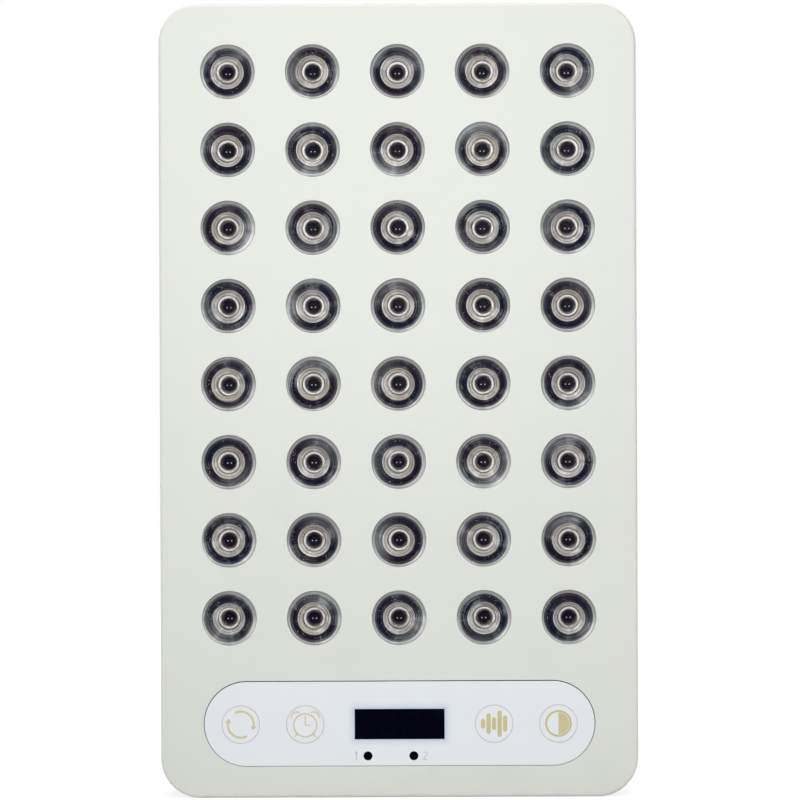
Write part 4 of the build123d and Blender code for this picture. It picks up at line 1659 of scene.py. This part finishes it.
@dataclass
class Indicators:
    """Two small round windows of the indicator lamps, numbered 1 and 2."""

    radius: float = 2.05 * MM
    gap: float = 0.04 * MM
    edge: Point = (0.1 * MM, 0.06 * MM)
    steps: int = 48
    numeral_offset: float = 5.2 * MM
    numeral_height: float = 3.4 * MM
    numeral_line: float = 0.4 * MM
    flag: float = 0.8 * MM
    hook_start: float = 160.0
    hook_end: float = -40.0

    def places(self) -> list[Point]:
        """Finds the two windows.

        Returns:
            Their centres as X and Z.
        """
        low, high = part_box("indicator_lamps")
        half = (high.z - low.z) / 2
        return [(low.x + half, low.z + half), (high.x - half, high.z - half)]

    def build(self, front: float, depth: float, span: Point) -> None:
        """Builds the windows and their numbers.

        Args:
            front: Where the strip's front lies.
            depth: How far behind it the windows' faces lie.
            span: Where the front and back of the print lie.
        """
        windows = Mould("indicator_windows")
        radius = self.radius - self.gap
        profile = [
            Ring(radius - self.edge[0], depth, DARK_WINDOW),
            Ring(radius, depth + self.edge[1], DARK_WINDOW),
            Ring(radius, FrontShell.sheet, DARK_WINDOW),
        ]
        for x, z in self.places():
            windows.turned(profile, Vector((x, front, z)), self.steps)
        windows.piece("housing", slot="dark_window")
        numerals = Print("indicator_numerals", span, GREY_INK)
        (left_x, z), (right_x, _) = self.places()
        self.draw_one(numerals, left_x - self.numeral_offset, z)
        self.draw_two(numerals, right_x + self.numeral_offset, z)
        numerals.piece("housing", slot="white_gloss")

    def draw_one(self, numerals: Print, x: float, z: float) -> None:
        """Prints the number 1.

        Args:
            numerals: Print of the numbers.
            x: Middle of the number.
            z: Middle of the number.
        """
        top, foot = z + self.numeral_height / 2, z - self.numeral_height / 2
        numerals.line((x, foot), (x, top), self.numeral_line)
        numerals.line((x, top), (x - self.flag, top - self.flag), self.numeral_line)

    def draw_two(self, numerals: Print, x: float, z: float) -> None:
        """Prints the number 2.

        Args:
            numerals: Print of the numbers.
            x: Middle of the number.
            z: Middle of the number.
        """
        half = self.numeral_height / 2
        hook = half / 2
        centre, foot = (x, z + half - hook), z - half
        numerals.arc(centre, hook, self.numeral_line, (self.hook_start, self.hook_end))
        knee = polar(centre, hook, math.radians(self.hook_end))
        numerals.line(knee, (x - hook, foot), self.numeral_line)
        numerals.line((x - hook, foot), (x + hook, foot), self.numeral_line)


@dataclass
class ControlStrip:
    """Glossy pill-shaped strip with its keys, display window and indicator windows."""

    flange: float = 3.0 * MM
    trim: float = 0.65 * MM
    sag: float = 0.09 * MM
    key_hole_radius: float = 8.61 * MM
    window_gap: float = 0.03 * MM
    edge: float = 0.15 * MM
    hole_edge: float = 0.02 * MM
    flange_edge: float = 0.1 * MM
    flange_hole_edge: float = 0.05 * MM
    flange_corner_share: float = 1 / 3
    flange_steps: int = 12
    window_steps: int = 2
    print_rise: float = 0.03 * MM

    def corners(self) -> tuple[Vector, Vector]:
        """Finds the strip's face, without the flange and a little trimmed at the bottom.

        Returns:
            Its low and high corners.
        """
        low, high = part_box("control_overlay")
        inset = Vector((self.flange, 0, self.flange))
        return low + inset + Vector((0, 0, self.trim)), high - inset

    def finish(self) -> Overlay:
        """Sets the painted bluish shade round the display window.

        Returns:
            The strip's finish.
        """
        window, centre = size("display_window"), middle("display_window")
        edges = (centre.x, centre.z, window.x / 2, window.z / 2)
        return Overlay("strip_gloss", (0.855, 0.89, 0.926), 0.2, window=edges)

    def build(self) -> None:
        """Builds the strip and all that is set in it."""
        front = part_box("control_overlay")[0].y
        face = front + self.print_rise
        span = (front, face + self.print_rise)
        indicators = Indicators()
        self.build_face(front, indicators)
        Display().build(face, self.print_rise)
        indicators.build(front, self.print_rise, span)
        for pictogram in Pictogram:
            Key(pictogram).build(front, self.print_rise, span)

    def build_face(self, front: float, indicators: Indicators) -> None:
        """Builds the strip's face and the flange behind the sheet.

        Args:
            front: Where the strip's front lies.
            indicators: The indicator windows.
        """
        low, high = self.corners()
        centre_z = (low.z + high.z) / 2
        width, height = high.x - low.x, high.z - low.z
        window = size("display_window")
        gap = self.window_gap
        centres = [middle(key.value) for key in Pictogram]
        holes = [circle(centre.x, centre.z, self.key_hole_radius) for centre in centres]
        holes += [circle(x, z, indicators.radius) for x, z in indicators.places()]
        holes.append(
            Outline(
                0, middle("display_window").z, window.x + 2 * gap, window.z + 2 * gap, 2 * gap,
                self.window_steps,
            )
        )
        sheet_back = front + FrontShell.sheet
        strip = Mould("control_strip_face")
        strip.plate(
            pill((0, centre_z - self.sag), width, height, PILL_STEPS), holes,
            (front + self.print_rise, sheet_back), self.edge, self.hole_edge, self.finish(),
        )
        width, height = width + 2 * self.flange, height + 2 * self.flange
        # The flange is dark so that the gap round the strip shows as a line of painted shade.
        strip.plate(
            Outline(0, centre_z, width, height, height * self.flange_corner_share, self.flange_steps),
            holes,
            (sheet_back + WELD_DISTANCE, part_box("control_overlay")[1].y),
            self.flange_edge, self.flange_hole_edge, GAP_SHADE_FLANGE,
        )
        strip.piece("housing", ["control_overlay"], "white_gloss")


@dataclass
class RearCover:
    """Flat rear cover with the fan grille, side vents and openings."""

    corner: float = 18.0 * MM
    grille_radius: float = 42.0 * MM
    slot_height: float = 4.4 * MM
    slot_pitch: float = 8.0 * MM
    vent_width: float = 28.0 * MM
    vent_height: float = 4.0 * MM
    vent_pitch: float = 9.0 * MM
    vent_margin: float = 10.0 * MM
    vent_drop: float = 18.0 * MM
    vents: int = 4
    roundness_share: float = 0.98
    slot_steps: int = 8
    inlet_trim: float = 1.6 * MM
    switch_trim: float = 0.8 * MM
    opening_corner: float = 0.4 * MM
    neck: float = 6.0 * MM
    neck_corner: float = 0.2 * MM
    opening_steps: int = 3
    neck_steps: int = 2
    edge: float = 0.3 * MM
    hole_edge: float = 0.2 * MM

    def build(self) -> None:
        """Builds the cover."""
        low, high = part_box("rear_cover")
        holes = self.grille() + self.side_vents(high.x - low.x) + self.openings()
        cover = Mould("rear_cover_skin")
        cover.plate(
            Outline(0, (low.z + high.z) / 2, high.x - low.x, high.z - low.z, self.corner), holes,
            (low.y, high.y), self.edge, self.hole_edge, HOUSING_PAINT,
        )
        cover.piece("housing", ["rear_cover"], "housing_paint")

    def slot(self, x: float, z: float, width: float, height: float) -> Outline:
        """Outline of a slot with round ends."""
        return Outline(x, z, width, height, height / 2 * self.roundness_share, self.slot_steps)

    def grille(self) -> list[Outline]:
        """Level slots that fill a circle over the fan.

        Returns:
            Outlines of the slots.
        """
        fan = middle("fan_frame")
        half = self.slot_height / 2
        side_slots = int((self.grille_radius - half) // self.slot_pitch)
        slots = []
        for row in range(-side_slots, side_slots + 1):
            rise = row * self.slot_pitch
            reach = math.sqrt(self.grille_radius**2 - (abs(rise) + half) ** 2)
            slots.append(self.slot(fan.x, fan.z + rise, 2 * reach, self.slot_height))
        return slots

    def side_vents(self, width: float) -> list[Outline]:
        """Short slots beside the driver.

        Args:
            width: Width of the cover.

        Returns:
            Outlines of the slots.
        """
        reach = (width - self.vent_width) / 2 - self.vent_margin
        centre_z = middle("led_driver").z - self.vent_drop
        rises = [(row - (self.vents - 1) / 2) * self.vent_pitch for row in range(self.vents)]
        return [
            self.slot(side * reach, centre_z + rise, self.vent_width, self.vent_height)
            for side in SIDES for rise in rises
        ]

    def openings(self) -> list[Outline]:
        """Openings of the mains inlet, the switch and the two hanging nuts.

        Returns:
            Outlines of the openings.
        """
        holes = []
        for node, trim in (("power_inlet", self.inlet_trim), ("rocker_body", self.switch_trim)):
            centre, extent = middle(node), size(node)
            width, height = extent.x - 2 * trim, extent.z - 2 * trim
            holes.append(Outline(centre.x, centre.z, width, height, self.opening_corner, self.opening_steps))
        nuts, centre_z = size("hanger_nuts"), middle("hanger_nuts").z
        for side in SIDES:
            x = side * (nuts.x - nuts.z) / 2
            holes.append(Outline(x, centre_z, self.neck, self.neck, self.neck_corner, self.neck_steps))
        return holes


@dataclass
class Fan:
    """Axial fan behind the grille: a square frame, a motor plate on struts and a bladed rotor."""

    duct_radius: float = 44.5 * MM
    duct_steps: int = 20
    corner: float = 5.0 * MM
    corner_steps: int = 8
    edge: float = 0.4 * MM
    mouth: float = 0.42 * MM
    screw_pitch: float = 82.5 * MM
    screw_hole: float = 1.6 * MM
    screw_hole_steps: int = 6
    plate_radius: float = 19.0 * MM
    plate_thickness: float = 3.0 * MM
    plate_edge: float = 0.8 * MM
    plate_back_edge: float = 0.5 * MM
    strut_width: float = 4.4 * MM
    strut_root: float = 1.0 * MM
    strut_sunk: float = 0.5 * MM
    strut_edge: float = 0.6 * MM
    strut_gap: float = 0.3 * MM
    strut_nose_share: float = 0.7
    strut_angles: Sequence[float] = (45, 135, 225, 315)
    hub_radius: float = 18.0 * MM
    hub_depth: float = 18.0 * MM
    hub_nose: Sequence[Point] = ((3.0 * MM, 0.0), (1.2 * MM, 0.35 * MM), (0.0, 1.8 * MM))
    hub_edge: float = 0.5 * MM
    turned_steps: int = 64
    blades: int = 7
    blade_root: float = 1.0 * MM
    blade_reach: float = 42.6 * MM
    blade_thickness: float = 1.5 * MM
    edge_share: float = 0.35
    root_pitch: float = 46.0
    tip_pitch: float = 27.0
    root_share: float = 0.43
    spread_share: float = 0.02
    widest_share: float = 0.62
    camber_share: float = 0.11
    sweep: float = 14.0
    sections: int = 7
    points: int = 10

    def build(self) -> None:
        """Builds the frame and the rotor."""
        self.build_frame()
        self.build_rotor()

    def build_frame(self) -> None:
        """Builds the frame, its motor plate and its struts."""
        low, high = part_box("fan_frame")
        fan = middle("fan_frame")
        centre = (fan.x, fan.z)
        case = Mould("fan_case")
        holes = [circle(*centre, self.duct_radius, self.duct_steps)]
        screws = four_corners(centre, self.screw_pitch, self.screw_pitch)
        holes += [circle(x, z, self.screw_hole, self.screw_hole_steps) for x, z in screws]
        case.plate(
            Outline(*centre, high.x - low.x, high.z - low.z, self.corner, self.corner_steps), holes,
            (low.y, high.y), self.edge, self.mouth, BLACK_PLASTIC,
        )
        back = high.y - self.plate_thickness
        rings = (
            (self.plate_edge, 0.0),
            (0.0, self.plate_edge),
            (0.0, self.plate_thickness - self.plate_back_edge),
            (self.plate_back_edge, self.plate_thickness),
        )
        plate = [Ring(self.plate_radius - inset, depth, BLACK_PLASTIC) for inset, depth in rings]
        case.turned(plate, Vector((fan.x, back, fan.z)), self.turned_steps)
        for angle in self.strut_angles:
            self.build_strut(case, math.radians(angle), back, high.y - self.strut_gap)
        case.piece("housing", ["fan_frame"], "black_plastic")

    def build_strut(self, case: Mould, turn: float, front: float, back: float) -> None:
        """Adds one strut between the motor plate and the duct.

        Args:
            case: Mesh of the frame.
            turn: Where the strut stands, in radians.
            front: Where its narrow side lies.
            back: Where its wide side lies.
        """
        centre = Vector((middle("fan_frame").x, 0, middle("fan_frame").z))
        along = Vector((math.cos(turn), 0, math.sin(turn)))
        across = Vector((-along.z, 0, along.x)) * self.strut_width / 2
        nose, shoulder = self.strut_nose_share, front + self.strut_edge
        section = (
            (-nose, front), (nose, front), (1.0, shoulder), (1.0, back), (-1.0, back), (-1.0, shoulder),
        )
        case.skin(
            [
                [centre + along * reach + across * share + Vector((0, y, 0)) for share, y in section]
                for reach in (self.plate_radius - self.strut_root, self.duct_radius + self.strut_sunk)
            ],
            BLACK_PLASTIC,
            True,
        )

    def build_rotor(self) -> None:
        """Builds the hub and its blades."""
        fan = middle("fan_frame")
        centre = Vector((fan.x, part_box("fan_rotor")[1].y - self.hub_depth, fan.z))
        rings = (*self.hub_nose, (0.0, self.hub_depth - self.hub_edge), (self.hub_edge, self.hub_depth))
        hub = [Ring(self.hub_radius - inset, depth, FAN_BLACK) for inset, depth in rings]
        rotor = Mould("fan_wheel")
        rotor.turned(hub, centre, self.turned_steps)
        root = centre + Vector((0, self.hub_depth / 2, 0))
        for blade in range(self.blades):
            turn = 360 * blade / self.blades
            shares = [section / (self.sections - 1) for section in range(self.sections)]
            rotor.skin([self.blade_section(root, turn, share) for share in shares], FAN_BLACK, True)
        rotor.piece("fan_rotor", ["fan_rotor"], "fan_black")

    def blade_section(self, centre: Vector, turn: float, share: float) -> list[Vector]:
        """Section of a twisted blade.

        Args:
            centre: Middle of the hub.
            turn: Where the blade stands, in degrees.
            share: Where the section lies, from 0 in the hub to 1 at the tip.

        Returns:
            The section's points, along its upper side and back along its lower side.
        """
        root = self.hub_radius - self.blade_root
        radius = root + (self.blade_reach - root) * share
        pitch = math.radians(self.root_pitch + (self.tip_pitch - self.root_pitch) * share)
        half_chord = self.hub_depth * (self.root_share + self.spread_share * share) / math.sin(pitch)
        half_chord = min(half_chord, radius * self.widest_share)
        places = [index / (self.points - 1) for index in range(self.points)]
        section = []
        for side, place in [(1, place) for place in places] + [(-1, place) for place in reversed(places)]:
            along = (2 * place - 1) * half_chord
            arch = 4 * place * (1 - place)
            rise = arch * self.camber_share * 2 * half_chord
            rise += side * self.blade_thickness * (self.edge_share + (1 - self.edge_share) * arch) / 2
            round_x = along * math.cos(pitch) - rise * math.sin(pitch)
            depth = along * math.sin(pitch) + rise * math.cos(pitch)
            depth -= self.camber_share * half_chord * math.cos(pitch)
            angle = math.radians(turn + self.sweep * share) + round_x / radius
            section.append(centre + Vector((radius * math.sin(angle), depth, radius * math.cos(angle))))
        return section


@dataclass
class Screws:
    """Low round-headed screws in one of the construction's screw groups."""

    node: str
    square: bool = False
    head_radius: float = 3.0 * MM
    head_height: float = 2.0 * MM
    head_dome: Sequence[Point] = (
        (1.0, -0.9 * MM), (0.94, -0.45 * MM), (0.8, -0.14 * MM), (0.6, 0.0)
    )
    shank_radius: float = 1.42 * MM
    tip_share: float = 0.25
    tip_length: float = 0.6 * MM
    recess_sides: int = 6
    recess_radius: float = 1.15 * MM
    recess_edge: float = 0.02 * MM
    recess_depth: float = 1.2 * MM
    steps: int = 24

    def build(self) -> None:
        """Builds the four screws."""
        low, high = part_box(self.node)
        centre = middle(self.node)
        width = high.x - low.x - 2 * self.head_radius
        height = width if self.square else high.z - low.z - 2 * self.head_radius
        group = Mould(f"{self.node}_heads")
        for x, z in four_corners((centre.x, centre.z), width, height):
            self.build_screw(group, Vector((x, high.y, z)), high.y - low.y)
        group.piece("housing", [self.node], "dark_steel")

    def build_screw(self, group: Mould, place: Vector, length: float) -> None:
        """Adds one screw with its head towards the back.

        Args:
            group: Mesh of the screws.
            place: Middle of the head's top.
            length: Length with the head.
        """
        rings = [
            self.ring(place, self.shank_radius * self.tip_share, -length),
            self.ring(place, self.shank_radius, self.tip_length - length),
            self.ring(place, self.shank_radius, -self.head_height),
            self.ring(place, self.head_radius, -self.head_height),
        ]
        rings += [self.ring(place, self.head_radius * share, depth) for share, depth in self.head_dome]
        rings += [
            self.ring(place, self.recess_radius, -depth, self.recess_sides)
            for depth in (self.recess_edge, self.recess_depth)
        ]
        group.skin(rings, DARK_STEEL, True)

    def ring(self, place: Vector, radius: float, depth: float, sides: int = 0) -> list[Vector]:
        """Points of a circle, or of a polygon where sides are given.

        Args:
            place: Middle of the head's top.
            radius: Radius of the ring, at a polygon's corners.
            depth: Distance along Y from the head's top.
            sides: Sides of the polygon, or 0 for a circle.

        Returns:
            The points.
        """
        points = []
        for turn in whole_turn(self.steps):
            reach = radius
            if sides:
                half = math.pi / sides
                reach = radius * math.cos(half) / math.cos((turn % (2 * half)) - half)
            points.append(place + Vector((reach * math.cos(turn), depth, reach * math.sin(turn))))
        return points


@dataclass
class Rivets:
    """Low rivets that hold the stand's brackets to the cover."""

    margin: float = 5.0 * MM
    half_pitch: float = 5.8 * MM
    plate: float = 1.6 * MM
    radius: float = 2.0 * MM
    sunk: float = 0.2 * MM
    dome: Sequence[Point] = ((1.0, 0.15 * MM), (0.85, 0.4 * MM), (0.5, 0.62 * MM), (0.15, 0.7 * MM))
    steps: int = 24

    def build(self) -> None:
        """Builds two rivets in each bracket."""
        low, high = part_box("stand_brackets")
        rivets = Mould("bracket_rivets")
        rings = ((1.0, -self.sunk), *self.dome)
        profile = [Ring(self.radius * share, rise, PLATED_STEEL) for share, rise in rings]
        for x in (low.x + self.margin, high.x - self.margin):
            for side in SIDES:
                z = (low.z + high.z) / 2 + side * self.half_pitch
                rivets.turned(profile, Vector((x, low.y + self.plate, z)), self.steps)
        rivets.piece("housing", slot="plated_steel")


@dataclass
class RockerMarks:
    """Plain line and ring on the rocker's paddle for on and off."""

    lift: float = 0.03 * MM
    sunk: float = 0.2 * MM
    line_height: float = 3.0 * MM
    ring_radius: float = 1.6 * MM
    ring_steps: int = 32
    width: float = 0.5 * MM
    offset: float = 4.6 * MM
    middle_rise: float = 1.1 * MM
    end_rise: float = 2.2 * MM
    wing_length: float = 7.85 * MM

    def build(self) -> None:
        """Builds the marks on the two wings of the paddle."""
        joint = next(joint for joint in frame["joints"] if joint["name"] == "rocker_tilt")
        pivot = Vector(joint["pos_m"])
        tilt = math.radians(joint["range_deg"][1] / 2)
        marks = Mould("rocker_marks")
        climb = (self.end_rise - self.middle_rise) / self.wing_length
        for end in SIDES:
            slope = tilt - end * math.atan(climb)
            along = Vector((0, -math.sin(slope), math.cos(slope)))
            normal = Vector((0, math.cos(slope), math.sin(slope)))
            base = Vector((0, -math.sin(tilt), math.cos(tilt))) * (end * self.offset)
            base += Vector((0, math.cos(tilt), math.sin(tilt))) * (self.middle_rise + climb * self.offset)
            draw = self.build_line if end > 0 else self.build_ring
            draw(marks, pivot + base, along, (normal * -self.sunk, normal * self.lift))
        marks.piece("rocker_paddle", slot="switch_black")

    def build_line(
        self, marks: Mould, centre: Vector, along: Vector, layers: tuple[Vector, Vector]
    ) -> None:
        """Adds the line of the upper wing.

        Args:
            marks: Mesh of the marks.
            centre: Where it lies.
            along: Up the wing.
            layers: How far its back and its face lie from the wing.
        """
        half, width = along * self.line_height / 2, Vector((self.width / 2, 0, 0))
        corners = (-width - half, width - half, width + half, half - width)
        marks.skin([[centre + corner + layer for corner in corners] for layer in layers], WHITE_INK, True)

    def build_ring(
        self, marks: Mould, centre: Vector, along: Vector, layers: tuple[Vector, Vector]
    ) -> None:
        """Adds the ring of the lower wing.

        Args:
            marks: Mesh of the marks.
            centre: Where it lies.
            along: Up the wing.
            layers: How far its back and its face lie from the wing.
        """
        right = Vector((1, 0, 0))
        back, face = layers
        outer, inner = self.ring_radius, self.ring_radius - self.width
        section = ((outer, back), (outer, face), (inner, face), (inner, back), (outer, back))
        marks.skin(
            [
                [
                    centre + (right * math.cos(turn) + along * math.sin(turn)) * radius + layer
                    for turn in whole_turn(self.ring_steps)
                ]
                for radius, layer in section
            ],
            WHITE_INK,
        )


class Innards:
    """Construction nodes whose shape is right and which only need a finish."""

    finishes: Mapping[str, tuple[Finish, float]] = {
        "led_board": (BOARD_WHITE, 0.0),
        "heat_sink": (BARE_ALUMINIUM, 0.0),
        "display_module": (BLACK_PLASTIC, 0.2 * MM),
        "control_board": (BOARD_GREEN, 0.0),
        "key_switches": (BLACK_PLASTIC, 0.2 * MM),
        "indicator_lamps": (LAMP_CLEAR, 0.2 * MM),
        "led_driver": (BARE_ALUMINIUM, 0.5 * MM),
        "control_ribbon": (RIBBON_GREY, 0.0),
        "power_inlet": (BLACK_PLASTIC, 0.35 * MM),
        "inlet_pins": (PLATED_BRASS, 0.3 * MM),
        "rocker_body": (BLACK_PLASTIC, 0.3 * MM),
        "rocker_paddle": (SWITCH_BLACK, 0.25 * MM),
        "stand_frame": (STAND_PAINT, 0.35 * MM),
        "stand_foot": (SOFT_RUBBER, 0.5 * MM),
        "stand_brackets": (PLATED_STEEL, 0.25 * MM),
        "stand_pin": (PLATED_STEEL, 0.3 * MM),
        "hanger_nuts": (PLATED_STEEL, 0.15 * MM),
    }

    def build(self) -> None:
        """Dresses the nodes."""
        for node, (finish, edge) in self.finishes.items():
            dress(node, finish, edge)


@dataclass(frozen=True)
class Lamp:
    """Soft rectangular lamp, with its width and height in metres and its power in watts."""

    name: str
    place: Vector
    target: Vector
    extent: Point
    power: float

    def build(self) -> None:
        """Hangs the lamp."""
        data = bpy.data.lights.new(self.name, "AREA")
        data.shape = "RECTANGLE"
        data.size, data.size_y = self.extent
        data.energy = self.power
        made = bpy.data.objects.new(self.name, data)
        made.location = self.place
        made.rotation_euler = (self.target - self.place).to_track_quat("-Z", "Y").to_euler()
        bpy.context.scene.collection.objects.link(made)


LAMPS = (
    Lamp("key_lamp", Vector((-0.08, -0.52, 0.97)), Vector((0, 0, 0.23)), (0.8, 0.4), 4.02),
    Lamp("front_lamp", Vector((0.0, -0.56, 0.29)), Vector((0, 0, 0.27)), (0.3, 0.2), 1.0),
    Lamp("back_lamp", Vector((0.5, 1.3, 1.1)), Vector((0, 0, 0.18)), (1.2, 1.0), 9.0),
    Lamp("top_lamp", Vector((0.0, 0.03, 1.1)), Vector((0, 0.03, 0.36)), (0.9, 0.1), 1.1),
    Lamp("left_lamp", Vector((-0.8, 0.03, 0.2)), Vector((0, 0.03, 0.2)), (0.4, 0.1), 0.7),
    Lamp("right_lamp", Vector((0.8, 0.03, 0.2)), Vector((0, 0.03, 0.2)), (0.4, 0.1), 0.35),
)


@dataclass
class Studio:
    """White surroundings, soft lamps and the camera of the photograph."""

    ambient: float = 0.244
    picture: float = 800.0
    view_width: float = 0.3627
    distance: float = 2.5
    centre_x_pixel: float = 398.4
    centre_y_pixel: float = 400.25
    roll: float = 0.22
    sensor: float = 36.0
    clip_end: float = 30.0
    floor_side: float = 8.0
    floor_drop: float = 0.1 * MM
    floor_tone: float = 0.8
    floor_glow: float = 1.95
    glow_share: float = 0.5
    near_spread: float = 0.45
    near_steps: Point = (0.35, 0.8)
    near_tone: float = 0.79

    def build(self) -> None:
        """Builds the surroundings."""
        self.build_world()
        self.build_floor()
        for lamp in LAMPS:
            lamp.build()
        self.build_camera()

    def seen(self, recipe: Recipe) -> Wire:
        """Tells what is seen from what is lit.

        Args:
            recipe: Nodes of the material or world.

        Returns:
            1 for rays of the camera, of reflections and of refractions, else 0.
        """
        camera = recipe.node("ShaderNodeLightPath", output="Is Camera Ray")
        rays = camera + camera.output("Is Glossy Ray") + camera.output("Is Transmission Ray")
        return rays.at_most(1.0)

    def build_world(self) -> None:
        """Builds a world that is white to look at and softer as a light."""
        world = bpy.data.worlds.new("white_surroundings")
        bpy.context.scene.world = world
        recipe = Recipe(world)
        strength = self.ambient + (1 - self.ambient) * self.seen(recipe)
        background = recipe.node("ShaderNodeBackground", None, {"Color": (1, 1, 1), "Strength": strength})
        recipe.node("ShaderNodeOutputWorld", None, {"Surface": background})

    def floor_material(self) -> bpy.types.Material:
        """Makes a pale material that looks white and keeps the shadow near the panel.

        Returns:
            The material.
        """
        material = bpy.data.materials.new("pale_floor")
        recipe = Recipe(material)
        matt = recipe.node("ShaderNodeBsdfDiffuse", None, {"Color": (self.floor_tone,) * 3})
        spread = recipe.node(
            "ShaderNodeVectorMath", {"operation": "MULTIPLY"}, {0: recipe.place(), 1: (self.near_spread,) * 3}
        )
        near = recipe.node("ShaderNodeTexGradient", {"gradient_type": "SPHERICAL"}, {"Vector": spread}, "Fac")
        tone = recipe.blend(recipe.step(near, *self.near_steps), (1, 1, 1), (self.near_tone,) * 3)
        white = recipe.node("ShaderNodeEmission", None, {"Color": tone, "Strength": self.floor_glow})
        share = self.seen(recipe) * self.glow_share
        mixed = recipe.node("ShaderNodeMixShader", None, {0: share, 1: matt, 2: white})
        recipe.node("ShaderNodeOutputMaterial", None, {"Surface": mixed})
        return material

    def build_floor(self) -> None:
        """Builds the floor."""
        mesh = bpy.data.meshes.new("floor")
        half = self.floor_side / 2
        corners = [(-half, -half), (half, -half), (half, half), (-half, half)]
        mesh.from_pydata([(x, y, -self.floor_drop) for x, y in corners], [], [(0, 1, 2, 3)])
        mesh.materials.append(self.floor_material())
        floor = bpy.data.objects.new("floor", mesh)
        bpy.context.scene.collection.objects.link(floor)

    def build_camera(self) -> None:
        """Builds the camera that frames the panel as the photograph does."""
        low, high = CAD_BOX
        per_pixel = self.view_width / self.picture
        half = self.picture / 2
        data = bpy.data.cameras.new("camera")
        data.sensor_width = self.sensor
        data.lens = self.sensor * self.distance / self.view_width
        data.clip_end = self.clip_end
        camera = bpy.data.objects.new("camera", data)
        camera.location = (
            (half - self.centre_x_pixel) * per_pixel,
            low.y - self.distance,
            (low.z + high.z) / 2 + (self.centre_y_pixel - half) * per_pixel,
        )
        camera.rotation_euler = (math.pi / 2, math.radians(self.roll), 0)
        bpy.context.scene.collection.objects.link(camera)
        bpy.context.scene.camera = camera


def main() -> None:
    """Builds the object and its surroundings."""
    logging.basicConfig(level=logging.INFO, format="%(name)s: %(message)s")
    bpy.context.scene.view_settings.view_transform = "Standard"
    emitters = EmitterArray()
    places = emitters.places()
    strip = ControlStrip()
    FrontShell().build(places, strip.corners())
    LensArray().build(places)
    emitters.build()
    strip.build()
    RearCover().build()
    Fan().build()
    Screws("cover_screws").build()
    Screws("fan_screws", square=True).build()
    Rivets().build()
    RockerMarks().build()
    Innards().build()
    Studio().build()


if __name__ == "__main__":
    main()
